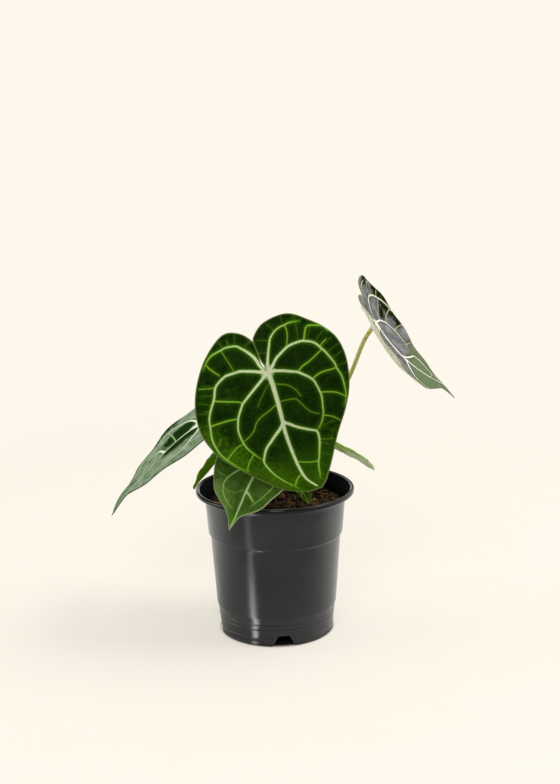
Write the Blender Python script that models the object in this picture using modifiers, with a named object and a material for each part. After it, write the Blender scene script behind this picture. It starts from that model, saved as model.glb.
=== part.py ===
"""Potted anthurium: seven heart-shaped, net-veined leaves on slender petioles, growing from a
short rooted crown in a black nursery pot of bark mix. Metres, +Z up, the viewer on the -Y side,
origin on the floor on the pot's axis, which is also the middle of the plant's spread."""

import math

import bmesh
import bpy
from mathutils import Euler, Matrix, Vector, noise
from mathutils.geometry import delaunay_2d_cdt

MM = 0.001
GAP = 0.3 * MM  # clearance between pieces that meet
TURN_STEPS = 48  # segments round the pot

# Pot, as (radius, height) in millimetres down the outside from under the lip to the foot
POT_OUTSIDE = [
    (60.0, 110.4), (60.0, 108.2), (58.8, 108.4), (58.2, 109.3), (56.4, 109.0), (54.2, 107.3),
    (53.0, 104.0), (52.7, 98.5), (51.0, 77.0), (49.2, 72.5), (45.8, 22.5), (44.4, 17.5),
    (43.5, 7.5), (43.1, 2.6), (43.8, 0.0),
]
POT_LIP = [(56.6, 110.4), (58.2, 111.5), (59.4, 111.4)]  # over the top, from the inside out
WALL = 1.0
FOOT_WALL = 1.7
FLOOR_UNDER, FLOOR_TOP = 8.8, 10.2  # the raised base plate's faces
NOTCH_WIDE, NOTCH_NARROW, NOTCH_HIGH = 17.4, 8.0, 8.3
NOTCH_TURN = 6.9  # degrees from the front to the first notch
DRAIN_RADIUS, DRAIN_RING, DRAIN_COUNT = 4.0, 27.0, 6

# Potting mix
SOIL_TOP = 98.5
SOIL_GAP = 0.4
SOIL_STEPS = 36
SOIL_RINGS = 7
LUMP_HEIGHT, LUMP_SIZE = 1.8, 9.0

# Crown and roots
CROWN_OUTSIDE = [
    (0.0, 104.5), (4.5, 104.0), (8.5, 102.2), (10.6, 99.2), (11.0, 95.0), (10.0, 88.0), (6.0, 83.5),
    (0.0, 82.0),
]
CROWN_AT = (-15.0, 10.0)  # the plant grows a little off the pot's axis
CROWN_STEPS = 24
CROWN_RING = 7.0  # radius on which the petioles stand
ROOT_COUNT, ROOT_RADIUS, ROOT_REACH, ROOT_END = 5, 1.9, 26.0, 24.0

# Petioles
PETIOLE_FOOT, PETIOLE_STEM, PETIOLE_NECK, PETIOLE_TOP = 2.2, 1.6, 1.9, 1.4  # radii, crown to blade
NECK_LENGTH = 10.0
PETIOLE_SEAT = 99.5  # height at which a petiole starts in the crown
PETIOLE_POINTS = 13
SOCKET_STRAIGHT, SOCKET_DEPTH = 6.0, 24.0

# Blades
RIB, LAMINA = 1.6, 0.7  # thickness on a vein and between the veins
MARGIN_WAVE, WAVE_COUNT = 0.005, 9  # height in blade lengths, and waves round the margin
WAVE_CENTRE = 0.2  # on the midrib
DRIP_START = 0.9  # where the drawn-out tip begins

# Half outlines in blade lengths, across and along, from the notch between the lobes to the tip
HEART = [
    (0.0, -0.03), (0.04, -0.11), (0.08, -0.22), (0.15, -0.33), (0.26, -0.38), (0.39, -0.33),
    (0.50, -0.19), (0.57, 0.02), (0.57, 0.24), (0.50, 0.46), (0.37, 0.65), (0.21, 0.81),
    (0.09, 0.91), (0.03, 0.965), (0.0, 1.0),
]
CLOSED_HALF = [(0.0, -0.03), (0.012, -0.11), (0.018, -0.2), (0.045, -0.29), (0.13, -0.36), *HEART[4:]]
BROAD_HALF = [
    (0.01, -0.03), (0.04, -0.09), (0.07, -0.17), (0.10, -0.27), (0.17, -0.37), (0.27, -0.405),
    (0.36, -0.37), (0.48, -0.25), (0.57, -0.10), (0.63, 0.08), (0.65, 0.25), (0.63, 0.40),
    (0.56, 0.56), (0.46, 0.69), (0.37, 0.81), (0.28, 0.92), (0.14, 0.99), (0.0, 1.0),
]
OVERLAPPING_HALF = [
    (0.01, -0.03), (-0.01, -0.09), (-0.04, -0.17), (-0.065, -0.25), (-0.05, -0.32), (0.02, -0.39),
    (0.15, -0.42), (0.27, -0.40), (0.40, -0.31), (0.52, -0.21), (0.61, -0.08), (0.65, 0.10),
    (0.63, 0.29), (0.55, 0.46), (0.42, 0.63), (0.26, 0.82), (0.11, 0.945), (0.0, 1.0),
]
TAPERED_HALF = [
    *HEART[:9], (0.53, 0.40), (0.455, 0.565), (0.38, 0.645), (0.295, 0.715), (0.20, 0.79),
    (0.125, 0.865), (0.06, 0.945), (0.0, 1.02),
]
SHOULDERED_HALF = [
    *HEART[:10], (0.42, 0.60), (0.37, 0.705), (0.30, 0.755), (0.19, 0.80), (0.09, 0.835),
    (0.045, 0.88), (0.025, 0.94), (0.0, 1.02),
]

# Main veins of one half in blade lengths, from the junction or the midrib outwards
VEINS = [
    [(0.03, -0.03), (0.05, -0.15), (0.10, -0.26), (0.17, -0.32), (0.27, -0.31), (0.37, -0.27)],
    [(0.03, -0.01), (0.11, -0.08), (0.21, -0.12), (0.33, -0.13), (0.44, -0.04), (0.50, 0.08), (0.53, 0.22),
     (0.52, 0.35)],
    [(0.04, 0.02), (0.15, 0.06), (0.26, 0.14), (0.34, 0.26), (0.36, 0.38), (0.32, 0.50), (0.25, 0.57)],
    [(0.0, 0.42), (0.11, 0.49), (0.24, 0.58), (0.25, 0.70), (0.17, 0.82), (0.05, 0.93)],
]
MIDRIB = [(0.0, 0.0), (0.0, 0.2), (0.0, 0.42), (0.0, 0.65), (0.0, 0.85), (0.0, 0.965)]


class Leaf:
    """One leaf. Lengths are in millimetres and angles in degrees; each pair is for the two halves."""

    def __init__(self, name, at, aim, length, halves=(HEART, HEART), mesh=5.5, fold=(8, 8), cup=(20, 20),
                 bend=10, lobes=0, drip=(0, 0), wide=(1, 1), sway=0, bow=0, hook=0, skew=0, twist=0,
                 foot=0, ring=CROWN_RING, lean=15, rise=50, arrive=0, slide=25):
        self.name = name
        self.at = Vector(at) * MM  # where petiole and blade meet
        self.length = length * MM  # from there to the tip
        self.halves = halves
        self.mesh = mesh * MM  # spacing of the blade's points
        self.fold, self.cup, self.wide = fold, cup, wide  # each half's slope, curl and width
        self.bend, self.lobes = bend, lobes  # how far tip and lobes turn down
        self.drip = drip  # how far the last tenth of the tip is drawn out and down, in blade lengths
        self.sway, self.bow, self.hook = sway, bow, hook  # sideways curves of the midrib
        self.skew, self.twist = skew, twist
        self.foot, self.ring, self.lean, self.rise = foot, ring, lean, rise  # the petiole's start
        self.arrive, self.slide = arrive, slide  # and its end at the blade
        azimuth, elevation, roll = (math.radians(a) for a in aim)
        self.along = Vector((math.cos(azimuth) * math.cos(elevation),
                             math.sin(azimuth) * math.cos(elevation), math.sin(elevation)))
        level = Vector((0, 0, 1)) - self.along * self.along.z
        level.normalize()
        self.face = level * math.cos(roll) + self.along.cross(level) * math.sin(roll)
        self.across = self.along.cross(self.face)

    def matrix(self):
        axes = Matrix((self.across, self.along, self.face)).transposed()
        return Matrix.Translation(self.at) @ axes.to_4x4()

    def point(self, x, y):
        """Place of a point of the flat blade, in the leaf's own frame."""
        y += self.skew * x
        side = 0 if x >= 0 else 1
        run, up = arc(math.radians(self.fold[side]), math.radians(self.cup[side]), abs(x) * self.wide[side])
        run = -run if side else run
        cos, sin = math.cos(math.radians(self.twist) * y), math.sin(math.radians(self.twist) * y)
        run, up = run * cos - up * sin, run * sin + up * cos
        out = min(math.hypot(x, y - WAVE_CENTRE) / 0.5, 1.2)
        up += MARGIN_WAVE * math.sin(WAVE_COUNT * math.atan2(x, y - WAVE_CENTRE)) * out ** 3
        ahead, behind = max(y, 0.0), max(-y, 0.0)
        along, drop = arc(0, math.radians(self.bend), ahead)
        back, sink = arc(0, math.radians(self.lobes), behind)
        drawn = max(ahead - DRIP_START, 0) / (1 - DRIP_START)
        along += self.drip[0] * drawn
        drop += self.drip[1] * drawn ** 2
        slope = math.radians(self.lobes) * behind - math.radians(self.bend) * ahead
        aside = self.sway * ahead ** 2 + self.hook * ahead ** 6
        aside += self.bow * math.sin(math.pi * min(ahead, 1)) ** 2
        return self.length * Vector((run + aside, along - back - math.sin(slope) * up,
                                     math.cos(slope) * up - drop - sink))


LEAVES = [
    Leaf("front", (-3.7, -46, 209.2), (-60.5, -69.9, 26.3), 87.2, halves=(BROAD_HALF, OVERLAPPING_HALF),
         mesh=5.8, fold=(4, 4), cup=(0, 0), bend=8, lobes=8, sway=-0.17, hook=-0.1, skew=0.13,
         foot=-100, ring=0.8, lean=8, rise=75, arrive=50, slide=16),
    Leaf("right", (74.1, -37.2, 241), (14.4, -59.6, 25.2), 76.7, halves=(CLOSED_HALF, CLOSED_HALF),
         fold=(-8.1, -13.2), cup=(75, 42.6), bend=-32.3, lobes=-28.9, drip=(0.115, 0.022),
         wide=(0.96, 1.22), sway=-0.15, foot=-6, lean=39.4, rise=126.7, arrive=-18.6, slide=31.2),
    Leaf("left", (-58.9, 16.0, 154.1), (194.9, -28.5, 2.7), 99.0,
         mesh=6.3, fold=(-0.8, 10.9), cup=(-6, -45), bend=39.6, lobes=4, wide=(1.15, 0.82), bow=-0.09,
         sway=0.33, twist=-8.3, foot=188, lean=22, rise=42, arrive=30, slide=26),
    Leaf("drape", (-5.8, -36, 148), (242.5, -44.2, -10.5), 61.9,
         halves=(TAPERED_HALF, SHOULDERED_HALF),
         mesh=5, fold=(0.4, 2), cup=(21, -3.5), bend=20, wide=(0.94, 0.93), bow=0.03, sway=0.14, twist=-32,
         foot=245, lean=20, rise=20, arrive=0, slide=14),
    Leaf("right_low", (42.4, 30, 138.9), (25, -29, -8), 50,
         fold=(-4, -4), cup=(-15, -20), bend=15, wide=(0.85, 0.5),
         foot=52, lean=26, rise=18, arrive=-25, slide=14),
    Leaf("left_low", (-35.9, 46, 134.2), (154.8, -32.3, -19.7), 65,
         mesh=6.3, fold=(-8, -0.4), cup=(-12, 7), bend=42, wide=(0.78, 0.8), bow=-0.14, sway=0.17,
         twist=10.6, foot=125, lean=26, rise=18, arrive=-25, slide=14),
    Leaf("inner", (15, -17, 121), (-52, -34, 0), 23,
         mesh=5, fold=(15, 15), bend=20, wide=(0.75, 0.75),
         foot=-52, lean=14, rise=6, arrive=0, slide=6),
]


def arc(start, turn, length):
    """Run and rise of a path that starts at one slope and turns evenly over each blade length."""
    if abs(turn) < 1e-6:
        return length * math.cos(start), length * math.sin(start)
    end = start + turn * length
    return (math.sin(end) - math.sin(start)) / turn, (math.cos(start) - math.cos(end)) / turn


def smooth(points, spacing):
    """Points about evenly spaced along a Catmull-Rom curve through the given ones."""
    points = [Vector(p) for p in points]
    ends = [2 * points[0] - points[1], *points, 2 * points[-1] - points[-2]]
    dense = []
    for a, b, c, d in zip(ends, ends[1:], ends[2:], ends[3:]):
        for i in range(16):
            t = i / 16
            dense.append(0.5 * (2 * b + (c - a) * t + (2 * a - 5 * b + 4 * c - d) * t ** 2
                                + (3 * b - a - 3 * c + d) * t ** 3))
    dense.append(points[-1])
    steps = [(b - a).length for a, b in zip(dense, dense[1:])]
    count = max(1, round(sum(steps) / spacing))
    wanted, walked, out = 1, 0.0, [dense[0]]
    for step, a, b in zip(steps, dense, dense[1:]):
        while wanted < count and walked + step >= wanted * sum(steps) / count:
            out.append(a.lerp(b, (wanted * sum(steps) / count - walked) / step))
            wanted += 1
        walked += step
    return out + [dense[-1]]


def clear_scene():
    for obj in list(bpy.data.objects):
        bpy.data.objects.remove(obj, do_unlink=True)


def collection(name):
    made = bpy.data.collections.new(name)
    bpy.context.scene.collection.children.link(made)
    return made


def material(name, colour, roughness):
    made = bpy.data.materials.new(name)
    made.use_nodes = True
    shader = made.node_tree.nodes["Principled BSDF"]
    shader.inputs["Base Color"].default_value = (*colour, 1)
    shader.inputs["Roughness"].default_value = roughness
    shader.inputs["Metallic"].default_value = 0
    return made


def add(name, data, group, finish=None, parent=None):
    obj = bpy.data.objects.new(name, data)
    group.objects.link(obj)
    if finish:
        data.materials.append(finish)
    obj.parent = parent
    return obj


def shade(obj, degrees=40):
    obj.data.shade_smooth()
    obj.data.set_sharp_from_angle(angle=math.radians(degrees))


def edges_mesh(name, points):
    mesh = bpy.data.meshes.new(name)
    mesh.from_pydata(points, [(i, i + 1) for i in range(len(points) - 1)], [])
    return mesh


def turned(name, profile, steps, group, finish=None, parent=None):
    """A solid turned about Z from (radius, height) points in millimetres, running down the outside."""
    obj = add(name, edges_mesh(name, [(r * MM, 0, z * MM) for r, z in profile]), group, finish, parent)
    screw = obj.modifiers.new("turn", "SCREW")
    screw.steps = screw.render_steps = steps
    screw.use_merge_vertices = True
    screw.merge_threshold = 0.00001
    screw.use_smooth_shade = True
    return obj


def applied(obj):
    """Replaces an object by one whose mesh is the evaluated one."""
    graph = bpy.context.evaluated_depsgraph_get()
    mesh = bpy.data.meshes.new_from_object(obj.evaluated_get(graph))
    work = bmesh.new()
    work.from_mesh(mesh)
    bmesh.ops.remove_doubles(work, verts=work.verts, dist=0.00001)
    work.to_mesh(mesh)
    work.free()
    made = bpy.data.objects.new(obj.name, mesh)
    made.matrix_world = obj.matrix_world
    made.parent = obj.parent
    for group in list(obj.users_collection):
        group.objects.link(made)
    name = obj.name
    bpy.data.objects.remove(obj, do_unlink=True)
    made.name = name
    return made


def as_cutter(obj):
    obj.hide_render = True
    obj.display_type = "WIRE"
    return obj


def cut(obj, tools):
    for tool in tools:
        boolean = obj.modifiers.new("cut", "BOOLEAN")
        boolean.operation = "DIFFERENCE"
        boolean.object = tool


def tube(name, points, radii, group, finish=None, parent=None):
    """A round tube through the points, each with its own radius."""
    curve = bpy.data.curves.new(name, "CURVE")
    curve.dimensions = "3D"
    curve.bevel_depth = 1.0
    curve.bevel_resolution = 2
    curve.use_fill_caps = True
    line = curve.splines.new("POLY")
    line.points.add(len(points) - 1)
    for spot, point, radius in zip(line.points, points, radii):
        spot.co = (*point, 1)
        spot.radius = radius
    return add(name, curve, group, finish, parent)


def pot_wall(height):
    """Outer radius of the pot's wall at a height, in millimetres."""
    wall = [p for p in POT_OUTSIDE if p[0] < 54]
    for (r1, z1), (r0, z0) in zip(wall, wall[1:]):
        if z0 <= height <= z1:
            return r0 + (r1 - r0) * (height - z0) / (z1 - z0)
    return wall[0][0]


def make_pot(group, cutters, parent):
    inside = [(r - WALL, z) for r, z in reversed(POT_OUTSIDE) if FLOOR_TOP + 2 < z < 108 and r < 54]
    inner_foot = pot_wall(FLOOR_UNDER) - FOOT_WALL
    bowl = [(0, FLOOR_TOP), (pot_wall(FLOOR_TOP) - WALL, FLOOR_TOP), *inside, (54.2, 108.6)]
    underside = [(POT_OUTSIDE[-1][0] - FOOT_WALL, 0.0), (inner_foot, FLOOR_UNDER), (0, FLOOR_UNDER)]
    profile = [*bowl, *POT_LIP, *POT_OUTSIDE, *underside]
    black = material("black_plastic", (0.02, 0.02, 0.022), 0.35)
    pot = turned("pot", profile, TURN_STEPS, group, black, parent)
    tools = [notch(i, cutters) for i in range(4)]
    tools += [drain(i, cutters) for i in range(DRAIN_COUNT + 1)]
    cut(pot, tools)


def notch(index, cutters):
    """A trapezoid through the foot, narrower at its top."""
    bpy.ops.mesh.primitive_cube_add(size=1)
    tool = bpy.context.object
    tool.name = f"notch_cutter_{index}"
    reach = POT_OUTSIDE[-1][0]
    low, high = -2.0, NOTCH_HIGH
    slope = (NOTCH_WIDE - NOTCH_NARROW) / NOTCH_HIGH
    for vertex in tool.data.vertices:
        height = high if vertex.co.z > 0 else low
        width = NOTCH_NARROW + slope * (high - height)
        vertex.co = Vector((vertex.co.x * width, -reach + vertex.co.y * 12, height)) * MM
    tool.rotation_euler = Euler((0, 0, math.radians(NOTCH_TURN + 90 * index)))
    return move_to(tool, cutters)


def drain(index, cutters):
    """A drain hole through the base plate: one in the middle and a ring of others."""
    angle = 2 * math.pi * index / DRAIN_COUNT + math.radians(NOTCH_TURN)
    ring = DRAIN_RING * MM if index < DRAIN_COUNT else 0
    place = (ring * math.sin(angle), -ring * math.cos(angle), (FLOOR_UNDER + FLOOR_TOP) / 2 * MM)
    bpy.ops.mesh.primitive_cylinder_add(vertices=16, radius=DRAIN_RADIUS * MM, depth=6 * MM, location=place)
    bpy.context.object.name = f"drain_cutter_{index}"
    return move_to(bpy.context.object, cutters)


def move_to(obj, group):
    for old in list(obj.users_collection):
        old.objects.unlink(obj)
    group.objects.link(obj)
    return as_cutter(obj)


def make_soil(group, cutter, parent):
    """The potting mix fills the pot to its level; its top is lumpy."""
    edge = pot_wall(SOIL_TOP) - WALL - SOIL_GAP
    top = [(edge * i / SOIL_RINGS, SOIL_TOP) for i in range(SOIL_RINGS + 1)]
    wall = [(pot_wall(z) - WALL - SOIL_GAP, z) for z in (77.0, 72.5, 22.5, 17.5, FLOOR_TOP + SOIL_GAP)]
    profile = [*top, *wall, (0, FLOOR_TOP + SOIL_GAP)]
    soil = applied(turned("soil", profile, SOIL_STEPS, group, parent=parent))
    for vertex in soil.data.vertices:
        if vertex.co.z > (SOIL_TOP - 1) * MM and vertex.co.xy.length < (edge - 1) * MM:
            lump = noise.fractal(vertex.co / (LUMP_SIZE * MM), 1.0, 2.0, 3)
            vertex.co.z += lump * LUMP_HEIGHT * MM
    soil.data.materials.append(material("bark_mix", (0.06, 0.035, 0.02), 0.95))
    shade(soil)
    cut(soil, [cutter])


def root_points(index):
    """A root leaves the crown's underside, spreads and runs down."""
    centre = Vector((*CROWN_AT, 0))
    angle = 2 * math.pi * (index + 0.3) / ROOT_COUNT
    outward = Vector((math.cos(angle), math.sin(angle), 0))
    aside = Vector((-math.sin(angle), math.cos(angle), 0))
    points = []
    for i in range(8):
        t = i / 7
        reach = 4 + (ROOT_REACH - 4) * math.sin(t * math.pi / 2)
        height = 87 - (87 - ROOT_END) * t ** 1.6
        wander = 3 * math.sin(2 * math.pi * t + index)
        points.append((centre + outward * reach + aside * wander * t + Vector((0, 0, height))) * MM)
    return points


def crown_with_roots(name, extra, group, parent=None):
    """The crown and its roots as one body, grown all round by extra millimetres."""
    profile = [(max(r + extra, 0) if r else 0, z + extra * (1 if z > 92 else -1)) for r, z in CROWN_OUTSIDE]
    if extra:
        side = CROWN_OUTSIDE[4][0] + extra
        profile = [(0, SOIL_TOP + 20), (side, SOIL_TOP + 20), *profile[4:]]
    body = turned(name, profile, CROWN_STEPS, group, parent=parent)
    body.location = (CROWN_AT[0] * MM, CROWN_AT[1] * MM, 0)
    body = applied(body)
    repeats = bpy.data.collections.new(name + "_roots")
    bpy.context.scene.collection.children.link(repeats)
    for i in range(ROOT_COUNT):
        points = root_points(i)
        end = (points[-1] - points[-2]).normalized() * extra * MM
        points[-1] = points[-1] + end
        radii = [(ROOT_RADIUS * (1 - 0.45 * k / 7) + extra) * MM for k in range(8)]
        applied(tube(f"{name}_root_{i}", points, radii, repeats))
        join = body.modifiers.new("root", "BOOLEAN")
        join.operation = "UNION"
        join.object = repeats.objects[-1]
    body = applied(body)
    for obj in list(repeats.objects):
        bpy.data.objects.remove(obj, do_unlink=True)
    bpy.data.collections.remove(repeats)
    return body


def make_crown(group, cutters, parent):
    crown = crown_with_roots("crown", 0, group, parent)
    crown.data.materials.append(material("crown_green_brown", (0.13, 0.12, 0.05), 0.7))
    shade(crown)
    cut(crown, [socket(leaf, cutters) for leaf in LEAVES])


def petiole_start(leaf):
    angle = math.radians(leaf.foot)
    lean = math.radians(leaf.lean)
    foot = Vector((*CROWN_AT, PETIOLE_SEAT)) + leaf.ring * Vector((math.cos(angle), math.sin(angle), 0))
    aim = Vector((math.sin(lean) * math.cos(angle), math.sin(lean) * math.sin(angle), math.cos(lean)))
    return foot * MM, aim


def socket(leaf, cutters):
    """The plain hole in the crown in which a petiole stands."""
    foot, aim = petiole_start(leaf)
    depth = SOCKET_DEPTH * MM
    radius = PETIOLE_FOOT * MM + GAP
    bpy.ops.mesh.primitive_cylinder_add(vertices=16, radius=radius, depth=depth,
                                        location=foot + aim * (depth / 2 - GAP),
                                        rotation=aim.to_track_quat("Z", "Y").to_euler())
    bpy.context.object.name = f"socket_cutter_{leaf.name}"
    return move_to(bpy.context.object, cutters)


def petiole_route(leaf):
    """Straight out of the crown, then a cubic Bezier to the back of the blade."""
    foot, aim = petiole_start(leaf)
    out = foot + aim * SOCKET_STRAIGHT * MM
    arrive = math.radians(leaf.arrive)
    heading = leaf.face * math.cos(arrive) + leaf.along * math.sin(arrive)
    set_back = RIB / 2 * MM + GAP + PETIOLE_TOP * MM * abs(math.sin(arrive))
    end = leaf.at - leaf.face * set_back
    first, second = out + aim * leaf.rise * MM, end - heading * leaf.slide * MM
    points = [foot]
    for i in range(PETIOLE_POINTS):
        t = i / (PETIOLE_POINTS - 1)
        start_side = out * (1 - t) ** 3 + first * 3 * t * (1 - t) ** 2
        points.append(start_side + second * 3 * t ** 2 * (1 - t) + end * t ** 3)
    return points


def make_petiole(leaf, group, finish, parent):
    points = petiole_route(leaf)
    radii = []
    for i in range(len(points)):
        t = i / (len(points) - 1)
        swell = max(0, 1 - (points[-1] - points[i]).length / (NECK_LENGTH * MM))
        taper = PETIOLE_STEM + (PETIOLE_FOOT - PETIOLE_STEM) * (1 - t) ** 3
        radii.append((taper + (PETIOLE_NECK - PETIOLE_STEM) * swell) * MM)
    radii[-1] = PETIOLE_TOP * MM
    return tube(f"petiole_{leaf.name}", points, radii, group, finish, parent)


def blade_lines(leaf):
    """Outline and vein lines of the flat blade, in blade lengths."""
    step = leaf.mesh / leaf.length
    plus, minus = leaf.halves
    rim = smooth(plus, step * 0.8) + smooth([(-x, y) for x, y in minus], step * 0.8)[-2:0:-1]
    veins = [smooth(MIDRIB, step)]
    for vein in VEINS:
        veins.append(smooth(vein, step))
        veins.append(smooth([(-x, y) for x, y in vein], step))
    return rim, veins


def inside(point, rim):
    """Whether a point lies within the outline, by counting crossings."""
    odd = False
    for a, b in zip(rim, rim[1:] + rim[:1]):
        spans = (a.y > point.y) != (b.y > point.y)
        if spans and point.x < a.x + (b.x - a.x) * (point.y - a.y) / (b.y - a.y):
            odd = not odd
    return odd


def blade_fill(rim, veins, step):
    """Points between the lines, on a triangular grid that keeps off them."""
    taken = [*rim, *(p for vein in veins for p in vein)]
    out = []
    rows = int(1.6 / (step * 0.866)) + 2
    columns = int(1.4 / step) + 2
    for row in range(rows):
        for column in range(columns):
            spot = Vector((-0.7 + (column + 0.5 * (row % 2)) * step, -0.5 + row * step * 0.866))
            if inside(spot, rim) and min((spot - p).length for p in taken) > step * 0.62:
                out.append(spot)
    return out


def make_blade(leaf, group, finish, parent):
    """An open surface of triangles along the outline and the veins, made solid and thicker on the veins."""
    rim, veins = blade_lines(leaf)
    points = list(rim)
    edges = [(i, (i + 1) % len(rim)) for i in range(len(rim))]
    for vein in veins:
        edges += [(len(points) + i, len(points) + i + 1) for i in range(len(vein) - 1)]
        points += vein
    points += blade_fill(rim, veins, leaf.mesh / leaf.length)
    flat, _, faces, sources, _, _ = delaunay_2d_cdt(points, edges, [], 1, 1e-4)
    mesh = bpy.data.meshes.new(f"leaf_{leaf.name}")
    mesh.from_pydata([leaf.point(p.x, p.y) for p in flat], [], faces)
    blade = add(f"leaf_{leaf.name}", mesh, group, finish)
    blade.parent = parent
    blade.matrix_world = leaf.matrix()
    on_vein = [i for i, found in enumerate(sources)
               if any(len(rim) <= s < len(rim) + sum(map(len, veins)) for s in found)]
    ribs = blade.vertex_groups.new(name="ribs")
    ribs.add(on_vein, 1.0, "REPLACE")
    solid = blade.modifiers.new("thickness", "SOLIDIFY")
    solid.thickness = RIB * MM
    solid.offset = 0
    solid.vertex_group = ribs.name
    solid.thickness_vertex_group = LAMINA / RIB
    mesh.shade_smooth()
    return blade


def main():
    clear_scene()
    plant = collection("potted_anthurium")
    cutters = collection("cutters")
    root = bpy.data.objects.new("potted_anthurium", None)
    plant.objects.link(root)
    make_pot(plant, cutters, root)
    hole = as_cutter(crown_with_roots("soil_cutter", SOIL_GAP, cutters))
    make_soil(plant, hole, root)
    make_crown(plant, cutters, root)
    stalk = material("petiole_olive", (0.30, 0.27, 0.10), 0.5)
    green = material("leaf_green", (0.03, 0.09, 0.02), 0.45)
    for leaf in LEAVES:
        make_petiole(leaf, plant, stalk, root)
        make_blade(leaf, plant, green, root)


main()
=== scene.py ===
"""Looks of the potted anthurium: fine net-veined blades, petioles, crown, bark mix and pot, built
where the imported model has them, on a pale studio floor."""

import math
from functools import cache
from types import SimpleNamespace

import bmesh
import bpy
import numpy as np
from mathutils import Euler, Matrix, Vector, noise
from mathutils.geometry import delaunay_2d_cdt
from mathutils.kdtree import KDTree


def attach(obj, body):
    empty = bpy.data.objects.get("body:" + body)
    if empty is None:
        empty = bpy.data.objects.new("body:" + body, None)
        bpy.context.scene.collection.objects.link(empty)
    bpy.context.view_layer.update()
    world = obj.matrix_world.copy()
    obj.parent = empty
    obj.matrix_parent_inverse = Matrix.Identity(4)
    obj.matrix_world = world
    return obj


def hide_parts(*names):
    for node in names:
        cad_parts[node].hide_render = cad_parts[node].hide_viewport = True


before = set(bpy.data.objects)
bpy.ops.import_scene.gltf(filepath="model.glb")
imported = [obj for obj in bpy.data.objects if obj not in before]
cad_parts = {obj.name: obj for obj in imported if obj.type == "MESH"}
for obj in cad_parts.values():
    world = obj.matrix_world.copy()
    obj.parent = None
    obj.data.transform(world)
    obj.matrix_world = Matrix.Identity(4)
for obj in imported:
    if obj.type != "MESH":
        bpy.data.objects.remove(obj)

MM = 0.001


def trace(*numbers):
    """Points, as pairs of blade lengths, from thousandths of them."""
    return [(x / 1000, y / 1000) for x, y in zip(numbers[::2], numbers[1::2])]


# Camera, matched to the pot's lip and foot
LOOK_AT, DISTANCE = Vector((0.005, 0.0, 0.1843)), 0.9534
PITCH, CAMERA_ROLL = math.radians(12.54), math.radians(0.9)
FOCAL_PX, IMAGE_HEIGHT, SENSOR = 1280, 784, 36.0

# Crown and petioles, in millimetres
CROWN_AT, CROWN_RING = (-15.0, 10.0), 7.0
PETIOLE_FOOT, PETIOLE_STEM, PETIOLE_NECK, PETIOLE_TOP = 2.2, 1.6, 1.9, 1.4
NECK_LENGTH, PETIOLE_SEAT, SOCKET_STRAIGHT = 10.0, 99.5, 6.0
PETIOLE_RINGS, PETIOLE_SIDES = 72, 20
GROOVE_DEPTH, GROOVE_WIDTH, RIDGE_HEIGHT = 0.10, 0.12, 0.012  # shares of a stalk's radius, and how wide
SMALLEST_BLADE, SMALLEST_STALK = 0.03, 0.8  # a blade under this length, in metres, has a thinner stalk

# Blades, in blade lengths unless said
MARGIN_WAVE, WAVE_COUNT, WAVE_CENTRE, WAVE_REACH, WAVE_MOST = 0.005, 9, 0.2, 0.5, 1.2
DRIP_START = 0.9  # where the last part of the tip starts
LAMINA, RIB = 0.7, 1.6  # thickness between the veins and on them, in millimetres
QUILT, QUILT_REACH = 0.45, 3.2  # how far the panels between veins swell, and how fast, in millimetres
UPPER_RIB = 0.12  # height of a vein above the blade, in millimetres
RIB_REACH, MARGIN_THINNING = 0.8, 0.55  # shares of a vein's width and of the blade's thickness
HALO_REACH, EDGE_REACH = 2.4, 1.5  # how far the glow beside a vein and the pale margin reach, in millimetres
END_START, END_FADE = 0.85, 0.75  # where along a main vein it starts to fade, and by how much
HUB_REACH, HUB_STRENGTH = 0.08, 0.75  # how far the pale spot at the junction reaches, and its strength
FINE, RIM_SPACING, RIM_INSET, VEIN_SPACING = 0.95, 0.9, 0.5, 1.2  # spacing of its points, in millimetres
CLEAR_SHARE = 0.6  # share of that spacing that the points between the veins keep off the others
GRID_HALF, GRID_BOTTOM, GRID_TALL, TRIANGLE_HEIGHT = 0.7, -0.45, 1.55, 0.866
CURVE_STEPS = 16  # fine steps between two points that a curve goes through
SLIT_ALONG, SLIT_ACROSS = (0.03, 0.10, 0.17, 0.25, 0.31), (0.008, 0.041, 0.056, 0.075, 0.085)
TUCK_START, TUCK_REACH, TUCK_DEPTH = 0.07, 0.08, 0.8  # where the lobes start to overlap, and how steeply

# Veins: half width at start and end in millimetres on the front blade, strength, and paleness likewise
FRONT_LENGTH, SMALLEST_SCALE = 0.0872, 0.6
MIDRIB_WIDTH, MIDRIB_PALE = (2.5, 1.3), (1.0, 0.8)
MAIN_WIDTH, MAIN_STRENGTH, MAIN_PALE = (1.6, 0.7), 0.9, (1.0, 0.2)
CROSS_WIDTH, CROSS_PALE = (0.95, 0.75), (0.2, 0.2)
MARGIN_WIDTH, MARGIN_STRENGTH = (0.55, 0.4), 0.2
MARGIN_EVERY = ((0, 9.0), (1, 8.0), (-1, 10.0))  # main vein, and how far apart its veins to the margin stand
BARE_SHARE, MARGIN_LONGEST, MARGIN_BEND = 0.22, 0.35, 0.9  # where on a main vein they start, and their curve
MARGIN_STEPS, MARGIN_SHORTEST, MARGIN_KEPT = 36, 3, 0.9  # steps along one, the fewest, and the share kept
HALO_POWER, QUILT_POWER, QUILTED_FROM = 1.6, 1.5, 0.4  # how fast glow and swell fall, and for which veins
SMALL_BLADE = 0.04  # a blade under this length, in metres, has none of them

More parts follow.
